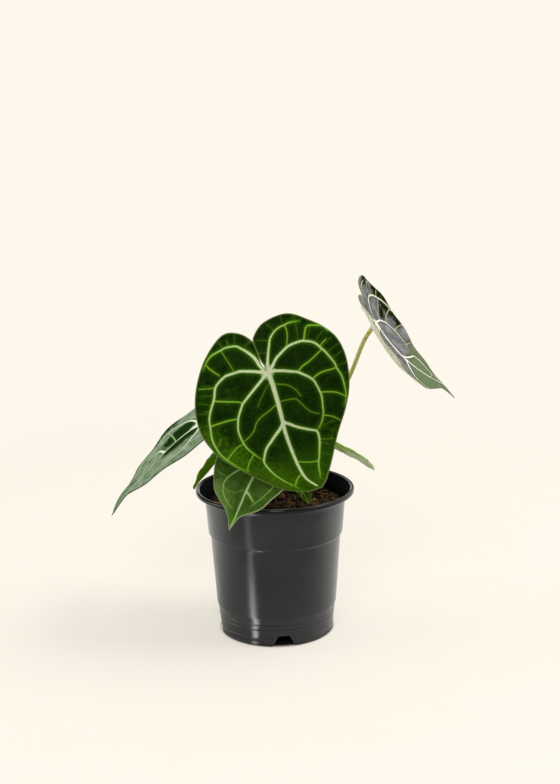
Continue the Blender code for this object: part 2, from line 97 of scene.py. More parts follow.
# Half outlines, in thousandths of a blade length across and along, from the notch to the tip
HEART = trace(0, -30, 40, -110, 80, -220, 150, -330, 260, -380, 390, -330, 500, -190, 570, 20, 570, 240,
              500, 460, 370, 650, 210, 810, 90, 910, 30, 965, 0, 1000)
CLOSED_HALF = trace(0, -30, 12, -110, 18, -200, 45, -290, 130, -360) + HEART[4:]
BROAD_HALF = trace(10, -20, 26, -50, 45, -90, 58, -130, 68, -180, 80, -250, 110, -310, 170, -370, 270, -405,
                   360, -370, 480, -250, 570, -100, 630, 80, 650, 250, 630, 400, 560, 560, 460, 690,
                   370, 810, 280, 920, 140, 990, 0, 1000)
OVERLAPPING_HALF = trace(-4, -30, -37, -100, -52, -170, -70, -250, -60, -310, 20, -390, 150, -420,
                         270, -400, 400, -310, 520, -210, 610, -80, 650, 100, 630, 290, 550, 460, 420, 630,
                         260, 820, 110, 945, 0, 1000)
TAPERED_HALF = HEART[:9] + trace(530, 400, 455, 565, 380, 645, 295, 715, 200, 790, 125, 865, 60, 945,
                                 0, 1020)
SHOULDERED_HALF = HEART[:10] + trace(420, 600, 370, 705, 300, 755, 190, 800, 90, 835, 45, 880, 25, 940,
                                     0, 1020)

# Veins of the first and the second half, likewise from the junction outwards; a cross vein has its strength
MIDRIB = trace(0, -20, 0, 200, 0, 420, 0, 650, 0, 850, 0, 970)
WAVED_MIDRIB = trace(0, -20, -20, 100, -26, 200, -26, 300, -20, 400, -8, 500, 0, 600, 10, 700, 27, 800,
                     43, 900, 25, 970)
MAIN_ONE = [
    trace(0, 0, 50, -60, 80, -120, 110, -170, 140, -210, 180, -250, 220, -280, 300, -290, 340, -280,
          390, -270, 440, -250, 480, -210, 510, -170),
    trace(0, 0, 70, -20, 120, -40, 170, -55, 220, -70, 300, -70, 350, -65, 410, -30, 440, 0, 470, 85,
          510, 150, 545, 220, 560, 300, 575, 390, 565, 480, 545, 540, 500, 610, 460, 665, 410, 710),
    trace(0, 0, 30, 25, 65, 55, 100, 80, 180, 135, 220, 165, 250, 185, 275, 220, 300, 255, 320, 290,
          335, 330, 350, 380, 352, 420, 350, 460, 340, 520, 320, 565, 280, 630, 260, 655),
    trace(-10, 440, 30, 475, 85, 510, 125, 540, 165, 565, 200, 595, 235, 640, 260, 680, 255, 735, 245, 785,
          230, 825, 205, 875, 180, 915, 160, 955),
]
CROSS_ONE = [
    (0.50, trace(480, -200, 455, -160, 420, -120, 390, -90)),
    (0.30, trace(340, -280, 320, -220, 295, -160, 270, -90)),
    (0.60, trace(475, 95, 425, 115, 350, 140, 290, 160, 255, 180)),
    (0.65, trace(555, 280, 480, 280, 410, 280, 330, 290)),
    (0.45, trace(520, 570, 490, 550, 440, 520, 390, 500, 345, 495)),
    (0.45, trace(310, 600, 340, 620, 370, 645, 405, 680, 420, 700)),
    (0.35, trace(-20, 270, 70, 310, 130, 330, 170, 350, 205, 385, 230, 420, 275, 450, 335, 475)),
    (0.22, trace(0, 90, 35, 120, 70, 160, 105, 200, 140, 245)),
    (0.40, trace(440, 0, 510, -15, 570, -30)),
    (0.25, trace(520, 170, 540, 165, 560, 160)),
    (0.25, trace(567, 457, 530, 430, 500, 400)),
    (0.25, trace(270, -290, 275, -315, 280, -340)),
    (0.50, trace(160, 915, 108, 880, 50, 855)),
]
MAIN_TWO = [
    trace(0, 0, 10, -50, 23, -100, 36, -150, 53, -200, 70, -250, 94, -280, 130, -307, 170, -320, 210, -323,
          250, -328, 330, -315),
    trace(0, 0, 50, -33, 70, -60, 100, -90, 140, -113, 186, -140, 230, -152, 280, -155, 320, -153,
          370, -135, 400, -120, 435, -90, 465, -45, 490, -10, 510, 27, 530, 66, 548, 105, 555, 145,
          572, 186, 583, 230, 585, 285, 582, 340, 570, 390, 540, 450),
    trace(0, 0, 45, 5, 90, 20, 135, 34, 187, 56, 240, 78, 275, 106, 305, 130, 335, 160, 355, 190, 367, 230,
          377, 275, 382, 320, 376, 365, 366, 410, 357, 450, 328, 505, 303, 535, 275, 555, 253, 570),
    trace(20, 420, 35, 436, 65, 456, 100, 486, 140, 510, 180, 535, 220, 556, 250, 572, 255, 600, 244, 648,
          224, 690, 200, 730, 174, 773, 147, 805, 120, 846, 93, 888, 60, 930),
]
CROSS_TWO = [
    (0.45, trace(208, -320, 216, -276, 212, -222, 200, -180, 187, -143)),
    (0.75, trace(335, -150, 348, -186, 360, -220, 380, -255, 420, -252, 470, -235, 510, -215, 545, -170)),
    (0.50, trace(455, -60, 480, -85, 515, -105)),
    (0.62, trace(250, 70, 290, 45, 333, 30, 375, 12, 418, -11, 465, -35)),
    (0.70, trace(345, 170, 393, 148, 442, 140, 488, 141, 550, 143)),
    (0.55, trace(378, 290, 446, 308, 498, 328, 537, 355, 570, 385)),
    (0.45, trace(350, 472, 387, 487, 426, 510, 460, 545)),
    (0.25, trace(245, 645, 290, 655, 340, 670)),
    (0.50, trace(150, 800, 110, 795, 68, 787, 30, 772, -15, 755)),
    (0.30, trace(30, 100, 62, 122, 115, 142, 162, 174, 198, 220, 220, 270)),
    (0.30, trace(30, 260, 100, 266, 172, 280, 206, 324, 235, 380, 270, 420, 320, 450)),
]
NET = ((MAIN_ONE, CROSS_ONE), (MAIN_TWO, CROSS_TWO))
LEFT_NET = (
    ([trace(0, 0, 70, -50, 140, -140, 200, -220, 300, -260),
      trace(0, 0, 120, -30, 250, 0, 340, 70, 400, 140, 420, 220, 440, 300, 420, 420, 360, 540, 260, 660,
            160, 760),
      trace(0, 300, 60, 320, 130, 330, 200, 360, 240, 420, 250, 500, 220, 580)],
     [(0.45, trace(0, 200, 80, 190, 150, 190, 280, 190, 400, 200)),
      (0.30, trace(250, 0, 320, -50, 420, -60, 520, -30)),
      (0.25, trace(440, 300, 500, 280, 550, 270))]),
    ([trace(0, 0, 50, -60, 120, -160, 220, -240, 340, -240),
      trace(0, 0, 120, -20, 260, 30, 360, 100, 420, 170, 440, 240, 440, 320, 400, 400, 320, 460, 220, 530),
      trace(0, 420, 60, 480, 120, 550, 160, 620, 120, 700)],
     [(0.35, trace(360, 100, 440, 100, 520, 110)),
      (0.25, trace(440, 240, 490, 250, 530, 260))]),
)
DRAPE_NET = (
    ([trace(0, 0, 80, -100, 160, -220, 280, -260, 400, -200),
      trace(0, 0, 100, 100, 210, 260, 300, 360, 345, 440, 340, 530, 290, 620, 200, 700, 100, 760),
      trace(0, 0, 140, -60, 280, -50, 400, 50)],
     [(0.35, trace(500, 340, 440, 370, 380, 380, 330, 400)),
      (0.35, trace(340, 520, 250, 550, 140, 560, 30, 520))]),
    ([trace(0, 0, 60, -100, 140, -220, 260, -270, 400, -200),
      trace(0, 0, 160, 60, 280, 200, 340, 340, 340, 450, 310, 530, 260, 620, 180, 700),
      trace(20, 540, 70, 570, 130, 610, 200, 660)],
     [(0.30, trace(340, 340, 420, 330, 480, 340))]),
)

# Pot, as (radius, height) in millimetres
POT_OUTSIDE = [
    (60.0, 110.4), (60.0, 108.2), (58.8, 108.4), (58.2, 109.3), (56.4, 109.0), (54.2, 107.3),
    (53.0, 104.0), (52.7, 98.5), (51.0, 77.6), (50.6, 76.9), (49.6, 76.3), (49.2, 72.5), (45.8, 22.5),
    (44.4, 17.5), (43.5, 7.5), (43.1, 2.6), (43.8, 0.0),
]
POT_LIP, LIP_UNDERCUT = [(56.6, 110.4), (58.2, 111.5), (59.4, 111.4)], (54.2, 108.6)
WALL_TOP_RADIUS, WALL_TOP, POT_INSIDE_TOP, LIP_INSIDE = 54, 108, 107.3, 57.3
FOOT_RINGS, RING_PROUD, RING_HALF = (16.2, 12.4, 5.6), 0.3, 0.7
WALL, FOOT_WALL, FLOOR_UNDER, FLOOR_TOP = 1.0, 1.7, 8.8, 10.2
POT_CORNER, CORNER_SHARE, POT_STEPS, POT_SHARP = 0.9, 0.45, 144, 38
NOTCH_COUNT, NOTCH_WIDE, NOTCH_NARROW, NOTCH_HIGH, NOTCH_TURN = 4, 17.4, 8.0, 8.3, 6.9
NOTCH_BELOW, NOTCH_DEEP = -2.0, 12  # the notches' cutter: its lower end, and its depth through the wall
DRAIN_RADIUS, DRAIN_RING, DRAIN_COUNT, DRAIN_SIDES, DRAIN_DEEP = 4.0, 27.0, 6, 32, 6
INSIDE_SHARE = 0.6  # how far into the wall the bowl's inside reaches, whose gloss is taken off as painted shade

# Mix, crown and sheaths, in millimetres
SOIL_TOP, SOIL_GAP, SOIL_RINGS, SOIL_STEPS = 98.5, 0.4, 60, 180
SOIL_SIDE = (77.0, 72.5, 22.5, 17.5)  # heights where the mix's side follows the wall's steps
LUMP_HEIGHT, LUMP_SIZE, CRUMB_HEIGHT, CRUMB_SIZE, MOUND_HEIGHT, MOUND_RADIUS = 1.8, 9.0, 0.9, 2.6, 1.6, 17
SCATTER_HALF, SCATTER_RADIUS, CROWN_CLEAR = 50, 50.5, 10.5  # where chips and fibres may lie
BARK = ((4.6, 90, 0.25), (2.9, 260, 0.2), (1.5, 420, 0.1))  # size, count and how far sunk
BARK_SEED, BARK_ROUGH, BARK_GRAIN, BARK_TILT, BARK_SHARP, BARK_SPAN = 11, 0.28, 1.7, 0.38, 34, 1.25
BARK_BLOCKY, BARK_WIDE, BARK_FLAT, BARK_SIZES = (0.45, 0.8), (0.45, 0.8), (0.22, 0.45), (0.6, 1.15)
FIBRE_SEED, FIBRE_COUNT, FIBRE_OFF, FIBRE_POINTS, FIBRE_SIDES, FIBRE_BOW = 5, 170, 9, 11, 5, 0.35
FIBRE_LONG, FIBRE_LIFT, FIBRE_THICK = (6, 19), (0.6, 1.9), (0.11, 0.24)
CROWN_OUTLINE = [(0.0, 104.5), (4.5, 104.0), (8.5, 102.2), (10.6, 99.2), (11.0, 95.0), (10.0, 88.0),
                 (6.0, 83.5), (0.0, 82.0)]
CROWN_CORNER, CORNER_STEPS, CROWN_STEPS = 2.0, 6, 96
# Shares of the crown's radius, with the size of its bumps and the rate of its rings
CROWN_ROUGH, CROWN_ROUGH_SIZE, CROWN_RING_HEIGHT, CROWN_RING_RATE = 0.05, 2.5, 0.02, 3.1
CROWN_LUMP, CROWN_LUMP_SIZE = 0.5, 3
SHEATH_SEED, SHEATH_COUNT, SHEATH_THICK, SHEATH_RADIUS, SHEATH_FOOT = 3, 7, 0.35, 10.4, 97.5
SHEATH_TALL, SHEATH_WIDE, SHEATH_FLARE = (9, 17), (0.42, 0.62), (0.5, 3.0)  # its half width is in radians
SHEATH_ACROSS, SHEATH_UP = 9, 14  # points each way

# Finishes: scale of the blades' net, how fast a tip's green sets in, and the heights where the lip starts
NET_SCALE, END_REACH, LIP_FROM = 0.42, 0.2, (0.1065, 0.1090)

# Studio, in metres: the pale ground's light and its painted shade under the pot, the gleam's card and the
# lamps with place, size and power
PAPER = (0.991, 0.939, 0.840)
PAPER_RADIUS, PAPER_SIDES, PAPER_HEIGHT = 4, 64, -0.0002
# The ground's painted shade under the pot: radii where its colour darkens and where its glow is cut
PAPER_FADE, PAPER_GLOW, PAINTED_POT_SHADE = (0.35, 0.9), 0.54, ((0.038, 0.045), (0.040, 0.046))
GLEAM_START, GLEAM_WAY = (-0.0187, -0.043, 0.0004), (-0.731, -0.682, 0)
GLEAM_REACH, GLEAM_WIDE, GLEAM_NEAR, GLEAM_FAR = (0.004, 0.40), (0.010, 0.13), 7.0, 1.8
GLEAM_FADE = (0.05, 0.20)  # where it falls from its near to its far light
LIGHTS_AIM = (0, 0, 0.14)
LIGHTS = (
    ("key_right", (2.4, -0.10, 3.2), (2.0, 2.0), 74),
    ("fill_left", (-2.6, 0.3, 0.6), (1.6, 1.2), 15),
    ("fill_front", (-0.3, -2.6, 2.2), (1.8, 1.2), 40),
)


class Leaf:
    """One leaf. Lengths are in millimetres and angles in degrees; each pair is for the two halves."""

    halves = (HEART, HEART)
    fold, cup, wide = (8, 8), (20, 20), (1, 1)  # each half's slope, curl and width
    bend, lobes = 10, 0  # how far tip and lobes turn down
    drip = (0, 0)  # how far the last tenth of the tip is drawn out and down, in blade lengths
    sway = bow = hook = skew = twist = 0  # sideways curves of the midrib, and how the blade leans and turns
    foot, ring, lean, rise = 0, CROWN_RING, 15, 50  # the petiole's start
    arrive, slide = 0, 25  # and its end at the blade
    midrib, net, spread = MIDRIB, NET, 0.9  # its veins, and how wide they are drawn
    sheen_and_shade_spots = ()  # painted sheen and shade on the upper side, partly the blade's own paler green: across, along, radius and amount
    tuck = 0  # how far the first lobe lies under the second, in blade lengths
    slot = "leaf"

    def __init__(self, name, at, aim, length, **own):
        self.__dict__.update(own)
        self.name = name
        self.at = np.array(at) * MM  # where petiole and blade meet
        self.length = length * MM  # from there to the tip
        azimuth, elevation, roll = (math.radians(a) for a in aim)
        self.along = Vector((math.cos(azimuth) * math.cos(elevation),
                             math.sin(azimuth) * math.cos(elevation), math.sin(elevation)))
        level = Vector((0, 0, 1)) - self.along * self.along.z
        level.normalize()
        self.face = level * math.cos(roll) + self.along.cross(level) * math.sin(roll)
        self.across = self.along.cross(self.face)

    def places(self, flat):
        """Where points of the flat blade, in blade lengths, lie in the row frame."""
        x, y = flat[:, 0], flat[:, 1] + self.skew * flat[:, 0]
        first = x >= 0
        slit = np.interp(-flat[:, 1], SLIT_ALONG, SLIT_ACROSS)
        under = self.tuck * np.clip(1 - abs(x - slit) / TUCK_REACH, 0, 1) * (x > slit)
        under = under * np.clip((-flat[:, 1] - TUCK_START) / TUCK_REACH, 0, 1)
        x = x - under
        sides = [arc(math.radians(self.fold[s]), math.radians(self.cup[s]), abs(x) * self.wide[s])
                 for s in (0, 1)]
        run = np.where(first, sides[0][0], -sides[1][0])
        up = np.where(first, sides[0][1], sides[1][1])
        cos, sin = np.cos(math.radians(self.twist) * y), np.sin(math.radians(self.twist) * y)
        run, up = run * cos - up * sin, run * sin + up * cos
        out = np.minimum(np.hypot(x, y - WAVE_CENTRE) / WAVE_REACH, WAVE_MOST)
        wave = MARGIN_WAVE * np.sin(WAVE_COUNT * np.arctan2(x, y - WAVE_CENTRE)) * out ** 3
        up = up + wave - under * TUCK_DEPTH
        ahead, behind = np.maximum(y, 0), np.maximum(-y, 0)
        along, drop = arc(0, math.radians(self.bend), ahead)
        back, sink = arc(0, math.radians(self.lobes), behind)
        last = np.maximum(ahead - DRIP_START, 0) / (1 - DRIP_START)
        along = along + self.drip[0] * last
        drop = drop + self.drip[1] * last ** 2
        slope = math.radians(self.lobes) * behind - math.radians(self.bend) * ahead
        aside = self.sway * ahead ** 2 + self.hook * ahead ** 6
        aside += self.bow * np.sin(math.pi * np.minimum(ahead, 1)) ** 2
        ahead, above = along - back - np.sin(slope) * up, np.cos(slope) * up - drop - sink
        local = np.stack([run + aside, ahead, above], 1)
        return local @ np.array([self.across, self.along, self.face]) * self.length + self.at


LEAVES = [
    Leaf("front", (-3.7, -46, 209.2), (-60.5, -69.9, 26.3), 87.2, halves=(BROAD_HALF, OVERLAPPING_HALF),
         fold=(4, 4), cup=(0, 0), bend=8, lobes=8, sway=-0.17, hook=-0.1, skew=0.13,
         foot=-100, ring=0.8, lean=8, rise=75, arrive=50, slide=16,
         midrib=WAVED_MIDRIB, spread=1.0, tuck=0.02, look="dark",
         sheen_and_shade_spots=((0.47, 0.60, 0.16, 0.8), (0.25, 0.86, 0.16, 0.8), (-0.05, 0.95, 0.12, 0.5),
                (0.60, 0.35, 0.12, 0.6), (-0.38, 0.62, 0.13, 0.4), (0.36, 0.10, 0.10, 0.25))),
    Leaf("right", (74.1, -37.2, 241), (14.4, -59.6, 25.2), 76.7, halves=(CLOSED_HALF, CLOSED_HALF),
         fold=(-8.1, -13.2), cup=(75, 42.6), bend=-32.3, lobes=-28.9, drip=(0.115, 0.022),
         wide=(0.96, 1.22), sway=-0.15, foot=-6, lean=39.4, rise=126.7, arrive=-18.6, slide=31.2,
         spread=1.0, look="silver", slot="leaf_pale",
         sheen_and_shade_spots=((-0.52, -0.12, 0.10, 1.2), (-0.53, 0.03, 0.09, 1.3), (-0.56, 0.17, 0.08, 1.2),
                (-0.50, 0.31, 0.06, 1.0), (-0.36, 0.07, 0.07, 0.9), (-0.33, -0.33, 0.08, 1.1),
                (-0.28, -0.17, 0.05, 0.6))),
    Leaf("left", (-58.9, 16.0, 154.1), (194.9, -28.5, 2.7), 99.0,
         fold=(-0.8, 10.9), cup=(-6, -45), bend=39.6, lobes=4, wide=(1.15, 0.82), bow=-0.09,
         sway=0.33, twist=-8.3, foot=188, lean=22, rise=42, arrive=30, slide=26,
         net=LEFT_NET, spread=1.0, look="silver_green", slot="leaf_pale",
         sheen_and_shade_spots=((0.15, 0.08, 0.13, 1.1), (0.14, 0.21, 0.11, 1.0), (-0.15, 0.12, 0.14, 1.2),
                (-0.18, 0.25, 0.12, 0.9), (0.55, 0.14, 0.12, 0.9), (0.52, 0.34, 0.12, 0.7),
                (0.20, 0.46, 0.07, 0.5), (0.05, 0.66, 0.08, 0.5))),
    Leaf("drape", (-5.8, -36, 148), (242.5, -44.2, -10.5), 61.9, halves=(TAPERED_HALF, SHOULDERED_HALF),
         fold=(0.4, 2), cup=(21, -3.5), bend=20, wide=(0.94, 0.93), bow=0.03, sway=0.14, twist=-32,
         foot=245, lean=20, rise=20, arrive=0, slide=14,
         net=DRAPE_NET, spread=1.0, look="grey_green",
         sheen_and_shade_spots=((0.42, 0.56, 0.16, 0.8), (0.22, 0.72, 0.14, 0.6), (-0.10, 0.66, 0.05, -0.6))),
    Leaf("right_low", (42.4, 30, 138.9), (25, -29, -8), 50,
         fold=(-4, -4), cup=(-15, -20), bend=15, wide=(0.85, 0.5),
         foot=52, lean=26, rise=18, arrive=-25, slide=14, look="young_pale", slot="leaf_young"),
    Leaf("left_low", (-35.9, 46, 134.2), (154.8, -32.3, -19.7), 65,
         fold=(-8, -0.4), cup=(-12, 7), bend=42, wide=(0.78, 0.8), bow=-0.14, sway=0.17,
         twist=10.6, foot=125, lean=26, rise=18, arrive=-25, slide=14, look="young"),
    Leaf("inner", (15, -17, 121), (-52, -34, 0), 23,
         fold=(15, 15), bend=20, wide=(0.75, 0.75),
         foot=-52, lean=14, rise=6, arrive=0, slide=6, look="inner", slot="leaf_young"),
]


def arc(start, turn, length):
    """Run and rise of a path that starts at one slope and turns evenly over each blade length."""
    if abs(turn) < 1e-6:
        return length * math.cos(start), length * math.sin(start)
    end = start + turn * length
    return (np.sin(end) - math.sin(start)) / turn, (math.cos(start) - np.cos(end)) / turn


def smooth(points, spacing):
    """Points about evenly spaced along a Catmull-Rom curve through the given ones."""
    points = [Vector(p) for p in points]
    ends = [2 * points[0] - points[1], *points, 2 * points[-1] - points[-2]]
    dense = []
    for a, b, c, d in zip(ends, ends[1:], ends[2:], ends[3:]):
        for i in range(CURVE_STEPS):
            t = i / CURVE_STEPS
            dense.append(0.5 * (2 * b + (c - a) * t + (2 * a - 5 * b + 4 * c - d) * t ** 2
                                + (3 * b - a - 3 * c + d) * t ** 3))
    dense.append(points[-1])
    steps = [(b - a).length for a, b in zip(dense, dense[1:])]
    count = max(1, round(sum(steps) / spacing))
    wanted, walked, out = 1, 0.0, [dense[0]]
    for step, a, b in zip(steps, dense, dense[1:]):
        while wanted < count and walked + step >= wanted * sum(steps) / count:
            out.append(a.lerp(b, (wanted * sum(steps) / count - walked) / step))
            wanted += 1
        walked += step
    return np.array([tuple(p) for p in out + [dense[-1]]])


def within(points, rim):
    """Which of the points lie inside the outline, by counting crossings."""
    odd = np.zeros(len(points), bool)
    for a, b in zip(rim, np.roll(rim, -1, 0)):
        if a[1] != b[1]:
            spans = (a[1] > points[:, 1]) != (b[1] > points[:, 1])
            odd ^= spans & (points[:, 0] < a[0] + (b[0] - a[0]) * (points[:, 1] - a[1]) / (b[1] - a[1]))
    return odd


def closeness(points, line, reach):
    """1 on a line and falling evenly to 0 at reach from it, and how far along the line that is."""
    start, step = line[:-1], line[1:] - line[:-1]
    reach = np.full(len(line), reach) if np.ndim(reach) == 0 else reach
    away = points[:, None] - start[None]
    t = np.clip((away * step).sum(2) / np.maximum((step ** 2).sum(1), 1e-12), 0, 1)
    gap = np.linalg.norm(away - t[..., None] * step, axis=2)
    near = 1 - gap / (reach[:-1] + (reach[1:] - reach[:-1]) * t)
    best = near.argmax(1)
    rows = np.arange(len(points))
    return np.clip(near[rows, best], 0, 1), (best + t[rows, best]) / len(start)


def beside(line, reach):
    """The two lines that run along a line at reach from it."""
    way = np.gradient(line, axis=0)
    way /= np.maximum(np.linalg.norm(way, axis=1), 1e-9)[:, None]
    normal = np.stack([-way[:, 1], way[:, 0]], 1) * np.reshape(reach, (-1, 1))
    return line + normal, line - normal


class Vein:
    """A vein's line on the flat blade, its half width along it, how strongly it shows and how pale it is."""

    def __init__(self, leaf, points, width, strength, pale=(0, 0)):
        self.line = smooth(points, VEIN_SPACING * MM / leaf.length)
        share = np.linspace(0, 1, len(self.line))
        scale = max(leaf.length / FRONT_LENGTH, SMALLEST_SCALE)
        self.reach = (width[0] + (width[1] - width[0]) * share) * scale * MM / leaf.length
        self.strength, self.pale = strength, pale


def blade_outline(leaf):
    step = RIM_SPACING * MM / leaf.length
    first, second = leaf.halves
    return np.concatenate([smooth(first, step), smooth([(-x, y) for x, y in second], step)[-2:0:-1]])


def to_margin(leaf, rim, vein, side, every):
    """Thin veins that run from a main vein to the margin, bending towards the tip."""
    out = []
    line = vein.line
    count = max(2, int(len(line) * VEIN_SPACING * MM / (every * MM)))
    for k in range(count):
        share = BARE_SHARE + (1 - BARE_SHARE) * (k + 0.5) / count
        i = min(int(share * (len(line) - 1)), len(line) - 2)
        way = line[i + 1] - line[i]
        way = way / max(np.linalg.norm(way), 1e-9)
        outward = np.array([way[1], -way[0]]) * side
        reach = np.linspace(0, MARGIN_LONGEST, MARGIN_STEPS)[:, None]
        path = line[i] + outward * reach + np.array([0, 1]) * (reach ** 2 * MARGIN_BEND)
        lost = np.nonzero(~within(path, rim))[0]
        if len(lost) and lost[0] > MARGIN_SHORTEST:
            path = path[: int(lost[0] * MARGIN_KEPT)]
            out.append(Vein(leaf, path[:: max(1, len(path) // 4)], MARGIN_WIDTH, MARGIN_STRENGTH))
    return out


def drawn(leaf, side, points):
    """A vein's points on one half of a blade."""
    return [(side * x * leaf.spread, y) for x, y in points]


def blade_veins(leaf, rim):
    """The midrib, the main veins of both halves, the cross veins between them and those to the margin."""
    veins = [Vein(leaf, leaf.midrib, MIDRIB_WIDTH, 1.0, MIDRIB_PALE)]
    for side, (mains, crosses) in zip((1, -1), leaf.net):
        main = [Vein(leaf, drawn(leaf, side, points), MAIN_WIDTH, MAIN_STRENGTH, MAIN_PALE)
                for points in mains]
        veins += [Vein(leaf, drawn(leaf, side, points), CROSS_WIDTH, strength, CROSS_PALE)
                  for strength, points in crosses]
        if leaf.length > SMALL_BLADE:
            for index, every in MARGIN_EVERY:
                veins += to_margin(leaf, rim, main[index], side, every)
        veins += main
    return veins


def blade_points(leaf, rim, veins):
    """Points of the flat blade and the edges that its triangles keep to."""
    inset = beside(rim, RIM_INSET * MM / leaf.length)[0]
    points, edges = [rim], [(i, (i + 1) % len(rim)) for i in range(len(rim))]
    used = len(rim)
    for vein in veins:
        for line in (vein.line, *beside(vein.line, vein.reach)):
            kept = within(line, inset)
            edges += [(used + i, used + i + 1) for i in range(len(line) - 1) if kept[i] and kept[i + 1]]
            points.append(np.where(kept[:, None], line, line[kept][:1] if kept.any() else rim[:1]))
            used += len(line)
    fixed = np.concatenate([*points, inset[within(inset, rim)]])
    tree = KDTree(len(fixed))
    for i, p in enumerate(fixed):
        tree.insert((*p, 0), i)
    tree.balance()
    step = FINE * MM / leaf.length
    grid = []
    for row in range(int(GRID_TALL / (step * TRIANGLE_HEIGHT))):
        xs = np.arange(-GRID_HALF, GRID_HALF, step) + 0.5 * step * (row % 2)
        grid.append(np.stack([xs, np.full(len(xs), GRID_BOTTOM + row * step * TRIANGLE_HEIGHT)], 1))
    grid = np.concatenate(grid)
    grid = grid[within(grid, inset)]
    free = [tree.find((*p, 0))[2] > step * CLEAR_SHARE for p in grid]
    return np.concatenate([fixed, grid[np.array(free)]]), edges


def surface_normals(places, faces):
    corners = places[faces]
    flat = np.cross(corners[:, 1] - corners[:, 0], corners[:, 2] - corners[:, 0])
    normals = np.zeros_like(places)
    for k in range(3):
        np.add.at(normals, faces[:, k], flat)
    return normals / np.maximum(np.linalg.norm(normals, axis=1), 1e-20)[:, None]


def smooth_mesh(name, places, faces):
    mesh = bpy.data.meshes.new(name)
    mesh.from_pydata(np.asarray(places).tolist(), [], faces)
    mesh.shade_smooth()
    return mesh


def keep_values(mesh, **values):
    """Stores one number, or one vector, for each point of a mesh under a name a material reads."""
    for name, numbers in values.items():
        kind, field = ("FLOAT_VECTOR", "vector") if numbers.ndim == 2 else ("FLOAT", "value")
        attribute = mesh.attributes.new(name, kind, "POINT")
        attribute.data.foreach_set(field, numbers.astype(np.float32).ravel())


def placed_object(name, data):
    """A new object of the data, in the scene."""
    made = bpy.data.objects.new(name, data)
    bpy.context.scene.collection.objects.link(made)
    return made


def finish_piece(name, mesh, materials, node):
    """Shows a mesh as a piece that stands for a node."""
    piece = placed_object(name, mesh)
    for material in materials:
        mesh.materials.append(material)
    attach(piece, "root")
    if node:
        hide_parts(node)


def vein_values(leaf, flat, rim, veins):
    """For each point of the flat blade: its vein, how pale that is, the glow beside it, how close the point
    is to the margin, and the shares of the swell between veins and of the rib under them."""
    unit = MM / leaf.length
    vein, pale, halo, rib, near = (np.zeros(len(flat)) for _ in range(5))
    for v in veins:
        close, share = closeness(flat, v.line, v.reach)
        if v.pale[0] > v.pale[1] + 0.5:
            close = close * (1 - END_FADE * np.clip((share - END_START) / (1 - END_START), 0, 1))
        stronger = v.strength * close > vein
        vein[stronger] = v.strength * close[stronger]
        pale[stronger] = (v.pale[0] + (v.pale[1] - v.pale[0]) * share)[stronger]
        glow = closeness(flat, v.line, v.reach + HALO_REACH * unit)[0] ** HALO_POWER
        halo = np.maximum(halo, v.strength * glow)
        if v.strength > QUILTED_FROM:
            near = np.maximum(near, closeness(flat, v.line, QUILT_REACH * unit)[0])
        rib = np.maximum(rib, v.strength ** 2 * closeness(flat, v.line, v.reach * RIB_REACH)[0])
    hub = HUB_STRENGTH * np.clip(1 - np.hypot(flat[:, 0], flat[:, 1]) / HUB_REACH, 0, 1)
    pale = np.where(hub > vein, 1.0, pale)
    edge = closeness(flat, np.concatenate([rim, rim[:1]]), EDGE_REACH * unit)[0]
    swell = QUILT * (1 - near) ** QUILT_POWER * (1 - edge)
    return np.maximum(vein, hub), pale, halo, edge, swell, rib * rib * (3 - 2 * rib)


def make_blade(leaf):
    """A closed blade: quilted between sunken veins above, ribbed below, thinner at its margin."""
    rim = blade_outline(leaf)
    veins = blade_veins(leaf, rim)
    points, edges = blade_points(leaf, rim, veins)
    flat, _, faces, _, _, _ = delaunay_2d_cdt([Vector(p) for p in points], edges, [], 1, 1e-6)
    flat = np.array([tuple(p) for p in flat])
    faces = np.array([f for f in faces if len(f) == 3])
    vein, pale, halo, edge, swell, rib = vein_values(leaf, flat, rim, veins)
    middle = leaf.places(flat)
    normals = surface_normals(middle, faces)
    if (normals @ np.array(leaf.face)).sum() < 0:
        normals, faces = -normals, faces[:, ::-1]
    lamina = LAMINA / 2 * (1 - MARGIN_THINNING * np.clip(edge * 2 - 1, 0, 1) ** 2)
    upper = (lamina + swell + UPPER_RIB * rib) * MM
    lower = (lamina - swell + (RIB - LAMINA) / 2 * rib) * MM
    count = len(flat)
    places = np.concatenate([middle + normals * upper[:, None], middle - normals * lower[:, None]])
    border = {}
    for f in faces:
        for a, b in ((f[0], f[1]), (f[1], f[2]), (f[2], f[0])):
            if (b, a) in border:
                del border[(b, a)]
            else:
                border[(a, b)] = True
    ring = [(b, a, a + count, b + count) for a, b in border]
    shell = faces.tolist() + (faces[:, ::-1] + count).tolist() + ring
    mesh = smooth_mesh(f"blade_{leaf.name}", places, shell)
    mesh.polygons.foreach_set("material_index", [0] * len(faces) + [1] * len(faces) + [0] * len(ring))
    # Painted sheen and shade: soft spots on the upper side, partly the blade's own paler green
    sheen_and_shade = np.zeros(count)
    for x, y, radius, amount in leaf.sheen_and_shade_spots:
        sheen_and_shade += amount * np.exp(-((flat[:, 0] - x) ** 2 + (flat[:, 1] - y) ** 2) / radius ** 2)
    values = {"vein": vein, "pale": pale, "halo": halo, "edge": edge,
              "sheet": np.column_stack([flat, np.zeros(count)]) * leaf.length / MM,
              "far": np.clip(flat[:, 1], 0, 1), "sheen_and_shade": sheen_and_shade}
    keep_values(mesh, **{name: np.concatenate([value, value]) for name, value in values.items()})
    finish_piece(f"blade_{leaf.name}", mesh, [leaf_upper(leaf.look), leaf_under(leaf.look)],
                 f"leaf_{leaf.name}")


